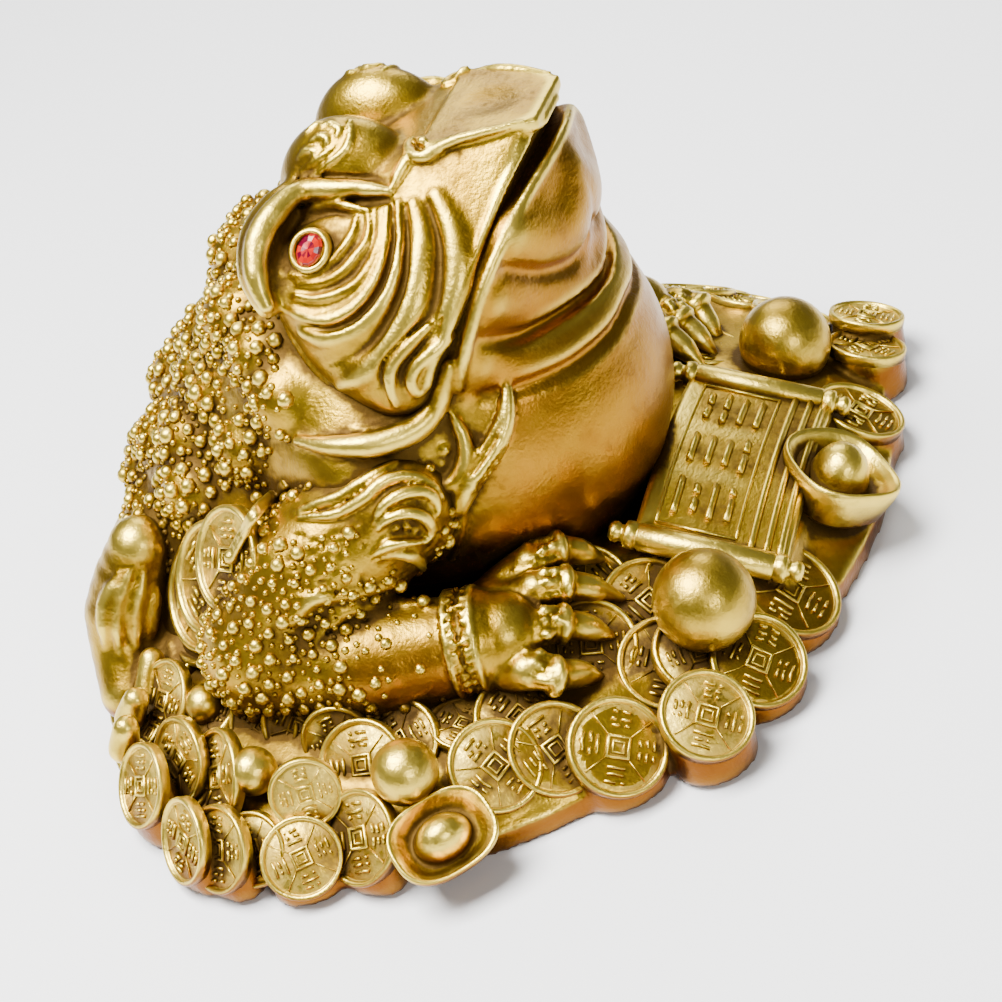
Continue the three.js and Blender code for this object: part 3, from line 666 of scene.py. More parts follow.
# The fingers: a ring and a claw on each, and rows of scales behind them.
claw_places, finger_places = [], []
for root, knuckle, ring, tip in fingers:
    pointing = unit(tip - knuckle)
    arm.press(roll(hoop(ring, pointing, 1.8), 0.85, curved=False), 0.1)
    arm.press(roll([ring, (ring + tip) / 2 + (0, 0, 0.5), tip], [1.95, 1.7, 0.6]), 0.1)
    claw_places += [ring, (ring + tip) / 2, tip]
    level = unit(np.cross(pointing, (0.25, 0.1, 1)))
    over = np.cross(level, pointing)
    for share in np.linspace(0.05, 0.85, 7):
        spine = root + (knuckle - root) * min(1, share * 1.6)
        spine = spine + (ring - knuckle) * max(0, share - 0.62) * 2.6
        finger_places.append(spine)
        width = 2.9 - 1.0 * share
        for turn in SCALE_TURNS:
            bump = spine + width * (over * math.cos(turn) + level * math.sin(turn)) * 0.97
            arm.press(egg(bump + chance.uniform(-0.25, 0.25, 3), chance.uniform(0.6, 0.95, 3)), 0.1)

arm_points, arm_faces = arm.polygons()
without_warts = [
    # places, and how far the skin is smooth round them
    (np.concatenate(lock_lines), 2.4), (claw_places, 3.0), (np.concatenate(cuff_lines), 2.0),
    (finger_places, 4.6), ([WRIST + cuff_axis * 5], 7.0),
]
rough = np.min([nearest(arm_points, places) - reach for places, reach in without_warts], axis=0) > 0
arm_warty = rough * np.maximum(ramp(nearest(arm_points, [WRIST]), 9, 7), 0.1)
left_arm = brass_piece("left_arm", arm_points, arm_faces)
right_arm = brass_piece("right_arm", arm_points * (-1, 1, 1), arm_faces[:, ::-1])


# The one hind leg, which a money toad has as a tail: it lies on the treasure behind. It is
# brass too, cast with the body.
LEG_CELL = 0.5
TAIL, TAIL_RADII = [(0, 38, 13), (-9, 42.6, 13.4), (-18, 43.6, 11.6), (-26, 39.6, 9)], [7.4, 7, 6.4, 5.4]
FOOT, FOOT_TOES = (-26, 37, 8.6), [(-33, 40.4, 7), (-36, 36.4, 7.4), (-36.4, 32, 8), (-34.6, 28, 9)]
THIGH = [
    # pixel, height and radius down the thigh
    ((139, 545), 23, 4.0), ((134, 578), 18, 5.2), ((129, 612), 13.5, 5.8), ((131, 648), 9.5, 5.2),
    ((134, 690), 6, 4.4),
]
THIGH_FOLDS = [
    # pixels of each fold's top, middle and foot
    [(120, 574), (108, 606), (106, 644)],
    [(131, 570), (119, 606), (120, 650)],
    [(144, 574), (136, 606), (137, 646)],
    [(154, 586), (150, 612), (150, 640)],
]
THIGH_TOES = [
    # pixels of each toe's top and foot
    ((126, 652), (126, 654)), ((152, 660), (149, 692)), ((136, 700), (130, 718)), ((126, 728), (124, 748)),
]
leg = Clay((-54, 14, 0), (12, 56, 30), LEG_CELL, halved=False, mirrored=False)
leg.press(roll(TAIL, TAIL_RADII))
for toe in FOOT_TOES:
    knuckle = (np.array(FOOT) + toe) / 2 + (0, 0, 1.6)
    leg.press(roll([FOOT, knuckle, toe], [3.2, 2.4, 1.8]), 1)
thigh_line = [on_level(pixel, level) for pixel, level, radius in THIGH]
leg.press(roll(thigh_line, [radius for pixel, level, radius in THIGH]), 2)
leg.settle()
for pixels in THIGH_FOLDS:
    leg.ridge(leg.snap([leg.spot(pixel) for pixel in pixels]), [0.5, 1.3, 1.5, 1.2, 0.5], 0.5, 0.4)
for top, foot in THIGH_TOES:
    leg.press(roll([on_level(top, 11.5), on_level(foot, 8.5)], [1.7, 2.0]), 0.6)
brass_piece("tail_leg", *leg.polygons())


# The warts: pearls cast on the skin of the back and of the arms, large ones among small ones.
# They repeat, so nodes scatter them over the skin where it is marked as warty.
class Signal:
    """An output in a node tree, which takes part in ordinary sums."""
    def __init__(self, tree, socket):
        self.tree = tree
        self.socket = socket

    def node(self, kind, settings, inputs, output=0):
        """Adds a node. Its settings come first, and its inputs go by name or by number."""
        made = self.tree.nodes.new(kind)
        for name, value in settings.items():
            setattr(made, name, value)
        for name, value in inputs.items():
            if isinstance(value, Signal):
                self.tree.links.new(value.socket, made.inputs[name])
            else:
                made.inputs[name].default_value = value
        return Signal(self.tree, made.outputs[output])

    def math(self, operation, first, second):
        return self.node("ShaderNodeMath", {"operation": operation}, {0: first, 1: second})

    def __add__(self, other):
        return self.math("ADD", self, other)

    def __sub__(self, other):
        return self.math("SUBTRACT", self, other)

    def __mul__(self, other):
        return self.math("MULTIPLY", self, other)

    def __rsub__(self, other):
        return self.math("SUBTRACT", other, self)

    __radd__ = __add__
    __rmul__ = __mul__

    def between(self, low, high):
        """Rises smoothly from 0 to 1 as the value goes from low to high."""
        return self.node("ShaderNodeMapRange", {"interpolation_type": "SMOOTHSTEP"},
                         {"Value": self, "From Min": low, "From Max": high})

    def mix(self, first, second):
        """Goes from the first colour to the second as the value goes from 0 to 1."""
        return self.node("ShaderNodeMix", {"data_type": "RGBA"}, {0: self, 6: first, 7: second}, 2)


def new_tree(name, inputs):
    """A tree of geometry nodes with named inputs, and what it is given there."""
    tree = bpy.data.node_groups.new(name, "GeometryNodeTree")
    for title, kind in inputs:
        tree.interface.new_socket(title, in_out="INPUT", socket_type="NodeSocket" + kind)
    tree.interface.new_socket("Made", in_out="OUTPUT", socket_type="NodeSocketGeometry")
    return tree, {socket.name: Signal(tree, socket) for socket in tree.nodes.new("NodeGroupInput").outputs}


def end_tree(tree, shape, material):
    """Ends a tree with what it has made, as real meshes in one material."""
    whole = shape.node("GeometryNodeRealizeInstances", {}, {"Geometry": shape})
    painted = shape.node("GeometryNodeSetMaterial", {}, {"Geometry": whole, "Material": material})
    tree.links.new(painted.socket, tree.nodes.new("NodeGroupOutput").inputs[0])


def wart_tree():
    tree, given = new_tree("warts", (
        ("Skin", "Geometry"), ("Wart", "Object"), ("Large gap", "Float"), ("Large size", "Float"),
        ("Small gap", "Float"), ("Small size", "Float"), ("Seed", "Int"), ("Material", "Material")))
    skin = given["Skin"]
    wart = skin.node("GeometryNodeObjectInfo", {}, {"Object": given["Wart"]}, "Geometry")
    warty = skin.node("GeometryNodeInputNamedAttribute", {"data_type": "FLOAT"}, {"Name": "warty"})
    both = tree.nodes.new("GeometryNodeJoinGeometry")
    for size, share in (("Large", 0.62), ("Small", 0.6)):
        spread = skin.node(
            "GeometryNodeDistributePointsOnFaces", {"distribute_method": "POISSON"},
            {"Mesh": skin, "Distance Min": given[size + " gap"], "Density Max": 4e6,
             "Density Factor": warty, "Seed": given["Seed"]},
        )
        turn = Signal(tree, spread.socket.node.outputs["Rotation"])
        least = given[size + " size"] * share
        width = skin.node("FunctionNodeRandomValue", {"data_type": "FLOAT"},
                          {2: least, 3: given[size + " size"], "Seed": given["Seed"]}, 1)
        put = skin.node("GeometryNodeInstanceOnPoints", {},
                        {"Points": spread, "Instance": wart, "Rotation": turn, "Scale": width})
        tree.links.new(put.socket, both.inputs[0])
    end_tree(tree, Signal(tree, both.outputs[0]), given["Material"])
    return tree


def made_by_nodes(host, tree, values):
    """The plain mesh that a node tree makes from a piece and its named values."""
    maker = host.modifiers.new(tree.name, "NODES")
    maker.node_group = tree
    for item in tree.interface.items_tree:
        if item.name in values:
            maker[item.identifier] = values[item.name]
    host.data.update()
    ready = host.evaluated_get(bpy.context.evaluated_depsgraph_get())
    mesh = bpy.data.meshes.new_from_object(ready)
    host.modifiers.remove(maker)
    return mesh


def marked(piece, name, values, kind="FLOAT", domain="POINT"):
    """Writes a value for each corner or each face of a piece's mesh, for nodes to read."""
    mark = piece.data.attributes.new(name, kind, domain)
    number = np.int32 if kind == "INT" else np.float32
    mark.data.foreach_set("vector" if kind == "FLOAT_VECTOR" else "value", np.ravel(values).astype(number))


def ring_faces(rings):
    """The faces between rings of points, from the bottom up. A tip is a ring of one point."""
    faces = []
    for low, high in zip(rings, rings[1:]):
        count = max(len(low), len(high))
        for i in range(count):
            j = (i + 1) % count
            corners = [low[i % len(low)], low[j % len(low)], high[j % len(high)], high[i % len(high)]]
            faces.append(tuple(dict.fromkeys(corners)))
    return faces


def lathe(profile, count):
    """A turned shape, from the radius and the level of each ring from the bottom up."""
    points, rings = [], []
    for radius, level in profile:
        if radius < 1e-6:
            rings.append([len(points)])
            points.append((0, 0, level))
            continue
        rings.append(list(range(len(points), len(points) + count)))
        for t in np.arange(count) * math.tau / count:
            points.append((radius * math.cos(t), radius * math.sin(t), level))
    return points, ring_faces(rings)


def mesh_object(name, points, faces):
    mesh = bpy.data.meshes.new(name)
    mesh.from_pydata(points, [], faces)
    return bpy.data.objects.new(name, mesh)


WART_PROFILE = [(0, -0.6), (0.85, -0.45), (1, 0), (0.86, 0.48), (0.48, 0.8), (0, 0.92)]
WART_SIDES = 7
BODY_WARTS = [(2.3, 1.2), (1.2, 0.6)]
ARM_WARTS = [(2.3, 1.05), (1.15, 0.56)]
BACK_STONE = (0, 43.7, 26)
wart = mesh_object("wart", *lathe(WART_PROFILE, WART_SIDES))
warts = wart_tree()


def warty_skin(host, name, marks, large, small, seed):
    """Large and small warts, each given as gap and radius in millimetres."""
    marked(host, "warty", marks)
    mesh = made_by_nodes(host, warts, {
        "Wart": wart, "Large gap": large[0] * MM, "Large size": large[1] * MM,
        "Small gap": small[0] * MM, "Small size": small[1] * MM, "Seed": seed, "Material": brass,
    })
    host.data.attributes.remove(host.data.attributes["warty"])
    brass_mesh(name, mesh)


def threes(items, name, kind=np.float32):
    """What each of a mesh's items has under a name, in rows of three numbers."""
    numbers = np.empty(len(items) * 3, kind)
    items.foreach_get(name, numbers)
    return numbers.reshape(-1, 3)


def places_of(piece):
    """Where the corners of a piece's mesh are, in the toad's millimetres."""
    return threes(piece.data.vertices, "co") / MM - MIDDLE


skin = places_of(toad_body)
folded = left_half(skin)
on_lump = 1 - ramp(nearest(folded, [place for place, radius in lumps]), 4.4, 2.6)
above = ramp(folded[:, 2], 17, 4) * ramp(folded[:, 1], 9, 4)
on_back = ramp(folded[:, 1] + (folded[:, 2] - 30) * 0.35, 9, 3)
clear_of_stone = ramp(nearest(folded, [BACK_STONE]), 2.6, 0.5)
body_marks = np.clip(on_lump + 0.12 * above, 0, 1) * on_back * above * clear_of_stone
warty_skin(toad_body, "body_warts", body_marks, *BODY_WARTS, 3)
warty_skin(left_arm, "left_arm_warts", arm_warty, *ARM_WARTS, 5)
warty_skin(right_arm, "right_arm_warts", arm_warty, *ARM_WARTS, 8)


# The base: an oval heap with upright walls, of brass and cast with the toad. The coins lie on
# it, and it drops straight to the ground under them.
BASE_CELL = 0.72
BASE_LONG, BASE_SHORT, BASE_TURN = 132.5, 99.0, math.radians(-23)
BASE_MIDDLE = (-2.4, -2.0)
WALL_HEIGHT, HEAP_HEIGHT = 3.0, 13.0
WALL_SHARE = 0.94
HEAP_SHARES = [0.0, 0.6, 0.8, WALL_SHARE]
HEAP_LEVELS = [1.0, 0.85, 0.525, 0.0]


def heap_share(x, y):
    u = (x - BASE_MIDDLE[0]) * math.cos(BASE_TURN) + (y - BASE_MIDDLE[1]) * math.sin(BASE_TURN)
    v = (y - BASE_MIDDLE[1]) * math.cos(BASE_TURN) - (x - BASE_MIDDLE[0]) * math.sin(BASE_TURN)
    return np.sqrt((2 * u / BASE_LONG) ** 2 + (2 * v / BASE_SHORT) ** 2)


def heap_top(x, y):
    levels = np.interp(heap_share(x, y), HEAP_SHARES, HEAP_LEVELS)
    return WALL_HEIGHT + (HEAP_HEIGHT - WALL_HEIGHT) * levels


def on_base(share, turn):
    """Where a share of the base's radii comes to, at a turn round its middle."""
    u, v = BASE_LONG / 2 * share * math.cos(turn), BASE_SHORT / 2 * share * math.sin(turn)
    return (u * math.cos(BASE_TURN) - v * math.sin(BASE_TURN) + BASE_MIDDLE[0],
            u * math.sin(BASE_TURN) + v * math.cos(BASE_TURN) + BASE_MIDDLE[1])


def on_heap(x, y, lift):
    return np.array((x, y, float(heap_top(x, y)) + lift))


base = Clay((-70, -56, -2), (66, 54, 24), BASE_CELL, halved=False, mirrored=False)
x, y, z = np.meshgrid(*base.axes, indexing="ij", sparse=True)
heap = (z - heap_top(x, y)) * 0.8
wall = (heap_share(x, y) - WALL_SHARE) * BASE_SHORT / 2
base.field = np.maximum(np.maximum(heap, wall), -z).astype(np.float32)


# The coins: round, with a raised rim, a square and four marks of shallow strokes that are no
# letters. The outer ones lean on the heap, and their backs drop straight to the ground.
EDGE_COINS = [
    # pixel, height, radius, facing, tilt, spin
    ((496, 765), 6.8, 5.8, 228, 40, 20),
    ((556.6, 748), 7.0, 5.9, 228, 40, 5),
    ((619, 746.3), 7.2, 6.2, 228, 40, 50),
    ((708, 714), 8.2, 5.8, 232, 34, 40),
    ((760, 659), 7.0, 6.2, 236, 38, 30),
    ((792, 587), 7.0, 7.0, 262, 36, 0),
    ((862, 408), 7.5, 6.3, 290, 28, 60),
    ((867, 343), 7.8, 5.6, 324, 20, 10),
    ((867, 312), 8.2, 5.4, 329, 20, 30),
    ((301, 858), 5.8, 5.0, 205, 42, 10),
    ((356, 838), 7.0, 5.8, 155, 50, 30),
    ((215, 850), 6.5, 5.4, 150, 56, 20),
    ((180, 842), 6.5, 5.4, 140, 62, 0),
    ((138, 786), 8.0, 5.4, 140, 55, 30),
]
FLANK_START, FLANK_FACING, FLANK_TILT, FLANK_STEP = ((226, 559), 29), 144, 56.6, 1.55
FLANK_PIXELS = [(223, 559), (205, 578), (198, 594), (193, 608)]
FLANK_RADII = [6.7, 7.4, 7.6, 7.6]
HIDDEN_SHARE, HIDDEN_RADIUS = 0.87, 6.2
INNER_COINS = [
    # pixel, height, radius, facing, tilt, spin
    ((586, 586), 9.8, 5.8, 219, 31, 20),
    ((591, 643), 9.4, 5.9, 219, 33, 70),
    ((667, 662), 8.6, 6.1, 225, 33, 45),
    ((650, 599), 10.4, 6.0, 230, 28, 10),
    ((463, 722), 10.2, 4.2, 262, 13, 0),
    ((305, 795), 11.0, 4.4, 205, 66, 0),
    ((213, 777), 9.6, 6.0, 134, 58, 40),
    ((337, 742), 10.0, 4.6, 190, 72, 20),
    ((297, 727), 9.6, 4.8, 186, 66, 60),
    ((251, 850), 6.0, 4.6, 170, 52, 30),
    ((360, 765), 8.4, 5.6, 180, 48, 10),
    ((160, 700), 10.0, 5.4, 140, 48, 15),
    ((176, 760), 9.4, 5.4, 146, 60, 70),
    ((262, 725), 10.2, 5.2, 170, 50, 70),
    ((520, 715), 9.6, 5.6, 235, 26, 15),
    ((700, 650), 9.4, 5.8, 240, 30, 65),
]
FILLERS, FILLER_GAP = 110, 5.2
CORD_ON_BODY, CORD_ON_COIN = [(286, 484), (274, 495)], [(256, 512), (244, 532), (231, 557)]
COIN_KINDS = 6
COIN_PROFILE = [
    (0, -0.28), (0.99, -0.28), (1.0, -0.06), (0.985, -0.015), (0.95, 0), (0.9, -0.005), (0.87, -0.05),
    (0.86, -0.1), (0.84, -0.1), (0.82, -0.085), (0, -0.08),
]
COIN_FLOOR, COIN_SIDES = -0.08, 40
THICK = 1.6    # of the coins at the edge
BEAD_PROFILE = [(-1, -0.3), (-0.7, 0.65), (0, 1), (0.7, 0.65), (1, -0.3)]


def rested(pixel, level, lift):
    """The place at a pixel that is at a height, or else a lift above the heap."""
    place = on_level(pixel, level)
    for _ in range(8):
        top = on_heap(*place[:2], lift)[2]
        if top > place[2]:
            place = on_level(pixel, top)
    return place


def coin_axes(facing, tilt, spin):
    round_it, lean = math.radians(facing), math.radians(tilt)
    normal = np.array((math.sin(lean) * math.cos(round_it), math.sin(lean) * math.sin(round_it),
                       math.cos(lean)))
    side = unit(np.cross((0, 0, 1), normal))
    up = np.cross(normal, side)
    turned = math.radians(spin)
    return (side * math.cos(turned) + up * math.sin(turned),
            up * math.cos(turned) - side * math.sin(turned), normal)


def ring_round(place, radius, side, up, count):
    return [place + radius * (side * math.cos(t) + up * math.sin(t))
            for t in np.arange(count) * math.tau / count]


edge_coins = []
for pixel, level, radius, facing, tilt, spin in EDGE_COINS:
    edge_coins.append((rested(pixel, level, 0.9), radius, facing, tilt, spin))
for i, angle in enumerate(np.arange(-25, 172, 12.2)):
    turn = math.radians(angle)
    place = np.array((*on_base(HIDDEN_SHARE, turn), 6.4 + 0.8 * (i % 2)))
    edge_coins.append((place, HIDDEN_RADIUS, angle + math.degrees(BASE_TURN), 32, 37 * i))
# Under each of them the base goes up to its back, and straight down to the ground.
for place, radius, *turns in edge_coins:
    side, up, normal = coin_axes(*turns)
    ring = ring_round(place - normal * THICK, radius * 0.97, side, up, 24)
    ring += [p + normal * (THICK - 0.5) for p in ring]
    ring += [(p[0], p[1], 0.4) for p in ring]
    base.press(hull(ring, 0.25), 0.8)
flank_side, flank_up, flank_out = coin_axes(FLANK_FACING, FLANK_TILT, 0)
flank_coins = []
for i, pixel in enumerate(FLANK_PIXELS):
    place = on_plane(pixel, on_level(*FLANK_START) - flank_out * FLANK_STEP * i, flank_out)
    flank_coins.append((place, FLANK_RADII[i], FLANK_FACING, FLANK_TILT, 20 + 50 * i))
ring = ring_round(place - flank_out * 2, 5.6, flank_side, flank_up, 16)
base.press(hull(ring + [(p[0] + 3, p[1] - 2, 3) for p in ring], 0.5), 1)
# The bed of the scroll. Its sheet has a half width, and edges that are so far back and so high.
SHEET_X, SHEET_IN, SHEET_OUT = 17.0, (-25.3, 16.8), (-43.8, 11.6)
bed = [(1 + s * SHEET_X * 0.92, y, z - drop) for y, z in (SHEET_IN, SHEET_OUT) for s in (-1, 1)
       for drop in (2.0, 9.0)]
base.press(hull(bed, 0.4), 1.5)
brass_piece("base", *base.polygons())


def bead(line, width, height, closed=False):
    """A raised stroke with a rounded back along flat points."""
    line = np.array(line, float)
    count, size = len(line), len(BEAD_PROFILE)
    points, faces = [], []
    for i, p in enumerate(line):
        before = line[(i - 1) % count] if closed or i else p
        after = line[(i + 1) % count] if closed or i < count - 1 else p
        a, b = p - before, after - p
        a = unit(a) if a.any() else unit(b)
        b = unit(b) if b.any() else a
        along = unit(a + b)
        across = np.array((-along[1], along[0])) / max(0.5, along @ a)
        for s, h in BEAD_PROFILE:
            points.append((*(p + across * s * width / 2), h * height))
    for i in range(count if closed else count - 1):
        for j in range(size):
            k = (j + 1) % size
            n = (i + 1) % count
            faces.append((i * size + j, i * size + k, n * size + k, n * size + j))
    if not closed:
        faces.append(tuple(range(size - 1, -1, -1)))
        faces.append(tuple(range((count - 1) * size, count * size)))
    return points, [tuple(reversed(face)) for face in faces]


def joined(parts):
    """Several shapes as one, each given as points and faces."""
    points, faces = [], []
    for part_points, part_faces in parts:
        start = len(points)
        points += list(part_points)
        faces += [tuple(i + start for i in face) for face in part_faces]
    return points, faces


def coin_mesh(seed):
    """A coin of 1 mm radius with its face up. The dark film lies on the floor inside the rim."""
    chance = np.random.default_rng(seed)
    disc = lathe(COIN_PROFILE, COIN_SIDES)
    square = np.array([(-1, -1), (1, -1), (1, 1), (-1, 1)])
    strokes = [bead(square * 0.21, 0.075, 0.075, closed=True),
               bead(square * 0.11, 0.055, 0.06, closed=True)]
    strokes += [bead([corner * 0.22, corner * 0.58], 0.035, 0.045) for corner in square]
    for quarter in range(4):
        t = quarter * math.pi / 2
        out = np.array((math.cos(t), math.sin(t)))
        across = np.array((-out[1], out[0]))
        for row in range(3):
            reach = chance.uniform(0.15, 0.22)
            level = out * 0.55 + out * (row - 1) * 0.14
            gap = chance.uniform(-0.1, 0.1)
            bend = out * chance.uniform(-0.03, 0.03)
            start, end = level - across * reach, level + across * reach
            lines = [[start, level + bend, end]]
            if chance.uniform() < 0.6:
                lines = [[start, level + across * (gap - 0.05) + bend],
                         [level + across * (gap + 0.05) + bend, end]]
            strokes += [bead(line, 0.08, 0.07) for line in lines]
    raised, raised_faces = joined(strokes)
    points, faces = joined([disc, ([(x, y, z + COIN_FLOOR) for x, y, z in raised], raised_faces)])
    film = [math.hypot(x, y) < 0.865 and -0.105 < z < -0.06 for x, y, z in points]
    return points, faces, film


def coin_tree():
    tree, given = new_tree("coins", (
        ("Places", "Geometry"), ("Kinds", "Collection"), ("Material", "Material")))
    places = given["Places"]
    kinds = places.node("GeometryNodeCollectionInfo", {}, {
        "Collection": given["Kinds"], "Separate Children": True, "Reset Children": True})
    marks = {}
    for name, kind in (("turn", "FLOAT_VECTOR"), ("size", "FLOAT"), ("kind", "INT")):
        marks[name] = places.node("GeometryNodeInputNamedAttribute", {"data_type": kind}, {"Name": name})
    put = places.node("GeometryNodeInstanceOnPoints", {}, {
        "Points": places, "Instance": kinds, "Pick Instance": True, "Instance Index": marks["kind"],
        "Rotation": marks["turn"], "Scale": marks["size"]})
    end_tree(tree, put, given["Material"])
    return tree


coin_kinds = bpy.data.collections.new("coin_kinds")
for seed in range(COIN_KINDS):
    points, faces, film = coin_mesh(seed)
    kind = mesh_object(f"coin_{seed}", points, faces)
    marked(kind, "film", film)
    coin_kinds.objects.link(kind)
coin_nodes = coin_tree()


def laid_coins(name, rows):
    """Coins as one piece, from rows of place, radius, facing, tilt and spin."""
    places = [tuple((place + MIDDLE) * MM) for place, *_ in rows]
    host = mesh_object(name + "_places", places, [])
    bpy.context.scene.collection.objects.link(host)
    turns = [Matrix(coin_axes(*row[2:])).transposed().to_euler() for row in rows]
    marked(host, "turn", turns, "FLOAT_VECTOR")
    marked(host, "size", [row[1] * MM for row in rows])
    marked(host, "kind", [i % COIN_KINDS for i in range(len(rows))], "INT")
    made = made_by_nodes(host, coin_nodes, {"Kinds": coin_kinds, "Material": brass})
    bpy.data.objects.remove(host)
    brass_mesh(name, made)


inner_coins = [(rested(pixel, level, 0.7), *rest) for pixel, level, *rest in INNER_COINS]
# Where the mound is still bare, more coins are laid round it by the golden turn.
chance = np.random.default_rng(11)
kept_clear = [row[0] for row in inner_coins + edge_coins[:len(EDGE_COINS)]]
for i in range(FILLERS):
    turn = i * GOLDEN_TURN
    place = on_heap(*on_base(0.6 + 0.3 * ((i * 0.618) % 1), turn), 0.35)
    facing = math.degrees(turn + BASE_TURN) + chance.uniform(-25, 25)
    tilt, spin, radius = chance.uniform(18, 40), chance.uniform(0, 90), chance.uniform(4.8, 5.8)
    if nearest(np.array(kept_clear), [place]).min() > FILLER_GAP:
        inner_coins.append((place, radius, facing, tilt, spin))
        kept_clear.append(place)
laid_coins("edge_coins", edge_coins)
laid_coins("inner_coins", inner_coins)
laid_coins("flank_coins", flank_coins)

# A flat cord ties the coins on the flank to the toad, cast with them.
CORD_CELL = 0.3
cord_line = [body.spot(pixel) * body.flip for pixel in CORD_ON_BODY]
cord_line += [on_plane(pixel, flank_coins[0][0] + flank_out * 0.25, flank_out) for pixel in CORD_ON_COIN]
cord_line = np.array(cord_line)
cord = Clay(cord_line.min(0) - 3, cord_line.max(0) + 3, CORD_CELL, halved=False, mirrored=False)
side = unit(np.cross(cord_line[-1] - cord_line[2], flank_out))
for shift in (-0.4, 0.4):
    cord.press(roll(cord_line + side * shift, [0.5, 0.5, 0.45]), 0.15)
cord.press(egg(cord_line[-1], 0.9), 0.3)
brass_piece("flank_cord", *cord.polygons())


# The scroll: a brass sheet arched over the coins between two rods, cast with the base. Its face
# has a border, two ribs and a row of marks of shallow strokes that are no letters.
ROD, ROD_LONG = 1.8, 20.4
ROD_END = [
    # radius and level of each ring, from the tip of the knob to the middle of the rod
    (0, -2.2), (0.9, -2.1), (1.3, -1.7), (1.4, -1.1), (1.1, -0.7), (1.1, -0.2), (1.7, 0), (ROD, 0.3),
    (ROD, 1.2), (ROD - 0.25, 1.4), (ROD - 0.25, 1.6), (ROD, 1.8),
]
SHEET_THICK = 1.6
SHEET_FALL = np.array((0, SHEET_OUT[0] - SHEET_IN[0], SHEET_OUT[1] - SHEET_IN[1]))
SHEET_LONG = np.linalg.norm(SHEET_FALL)
HALF, FIRST, LAST = SHEET_X - 2.6, 2.4, SHEET_LONG - 6.6
MARK_PLACES, MARK_SIZE = (-9.2, 0.2, 9.6), 6.4


def on_sheet(points):
    """From across, along and height over the sheet, in millimetres, to places."""
    across, along, height = np.array(points, float).T
    share = along / SHEET_LONG
    bow = 1.4 * (1 - (across / SHEET_X) ** 2) - 0.6
    return np.stack([1 + across, SHEET_IN[0] + SHEET_FALL[1] * share,
                     SHEET_IN[1] + SHEET_FALL[2] * share + bow + height], 1)


points, faces = [], []
across = np.linspace(-SHEET_X, SHEET_X, 41)
along = np.linspace(0, SHEET_LONG, 25)
for height in (0, -SHEET_THICK):
    points += [(s, t, height) for t in along for s in across]
wide, long = len(across), len(along)
for j in range(long - 1):
    for i in range(wide - 1):
        k = j * wide + i
        faces.append((k, k + wide, k + wide + 1, k + 1))
        k += wide * long
        faces.append((k, k + 1, k + wide + 1, k + wide))
border = [*range(wide), *(j * wide + wide - 1 for j in range(1, long)),
          *((long - 1) * wide + i for i in range(wide - 2, -1, -1)),
          *(j * wide for j in range(long - 2, 0, -1))]
for a, b in zip(border, border[1:] + border[:1]):
    faces.append((a, b, b + wide * long, a + wide * long))
brass_piece("scroll_sheet", on_sheet(points), faces)

chance = np.random.default_rng(4)
strokes = []


def sheet_line(start, end, width, height):
    count = max(2, int(abs(end[0] - start[0]) / 2) + 2)
    strokes.append(bead(np.linspace(start, end, count), width, height))


corners = [(-HALF, FIRST), (HALF, FIRST), (HALF, LAST), (-HALF, LAST)]
for start, end in zip(corners, corners[1:] + corners[:1]):
    sheet_line(start, end, 0.5, 0.35)
for t in (SHEET_LONG - 4.6, SHEET_LONG - 2.6, SHEET_LONG - 0.9):
    sheet_line((-SHEET_X + 1.4, t), (SHEET_X - 1.4, t), 1.1, 0.6)
for middle in MARK_PLACES:
    centre = np.array((middle, (FIRST + LAST) / 2))
    for row in range(4):
        t = (row / 3 - 0.5) * MARK_SIZE * 1.05
        reach = chance.uniform(0.34, 0.5) * MARK_SIZE
        gap = chance.uniform(-0.25, 0.25) * MARK_SIZE
        if chance.uniform() < 0.65:
            sheet_line(centre + (-reach, t), centre + (gap - 0.5, t + 0.1), 1.05, 0.75)
            sheet_line(centre + (gap + 0.5, t), centre + (reach, t - 0.1), 1.05, 0.75)
        else:
            sheet_line(centre + (-reach, t), centre + (reach, t), 1.05, 0.75)
stroke_points, stroke_faces = joined(strokes)
brass_piece("scroll_marks", on_sheet(stroke_points), stroke_faces)

rods = []
for side in (-1, 1):
    rod = lathe(ROD_END + [(radius, ROD_LONG - level) for radius, level in reversed(ROD_END)], 24)
    start = np.array((1 + side * SHEET_X, SHEET_IN[0] + 1, SHEET_IN[1] - 0.6))
    along = unit(SHEET_FALL)
    axes = np.array(((1.0, 0, 0), np.cross(along, (1.0, 0, 0)), along))
    rods.append((np.array(rod[0]) @ axes + start, rod[1]))
brass_piece("scroll_rods", *joined(rods))


# The ingots and the balls: plain brass treasure among the coins, cast with them.
BALLS = [((704, 600), 6.3), ((785, 342), 6.4), ((405, 772), 4.0), ((253, 771), 3.0), ((205, 704), 2.6)]
HIDDEN_BALL = ((46, 14), 3.9)
INGOTS = [
    # pixel, height, length, depth, facing, tilt, spin
    ((838, 478), 10.0, 14.8, 14.0, 290, 26, 20), ((443, 838), 7.2, 12.8, 9.8, 215, 30, 10),
]
INGOT_SIDES, INGOT_POWER = 56, 2.7
INGOT_PROFILE = [
    # share of the half width, share of the height
    (0, 0.6), (0.13, 0.585), (0.26, 0.535), (0.38, 0.44), (0.48, 0.29), (0.54, 0.12), (0.56, 0.0),
    (0.6, -0.05), (0.68, -0.02), (0.8, 0.08), (0.9, 0.2), (0.96, 0.26), (1.0, 0.24), (1.01, 0.14),
    (0.98, 0.0), (0.86, -0.35), (0.7, -0.5), (0, -0.5),
]


def laid(shape, place, facing, tilt, spin):
    """A shape set down at a place, with its top turned to a facing, a tilt and a spin."""
    points, faces = shape
    return np.array(points) @ np.array(coin_axes(facing, tilt, spin)) + place, faces


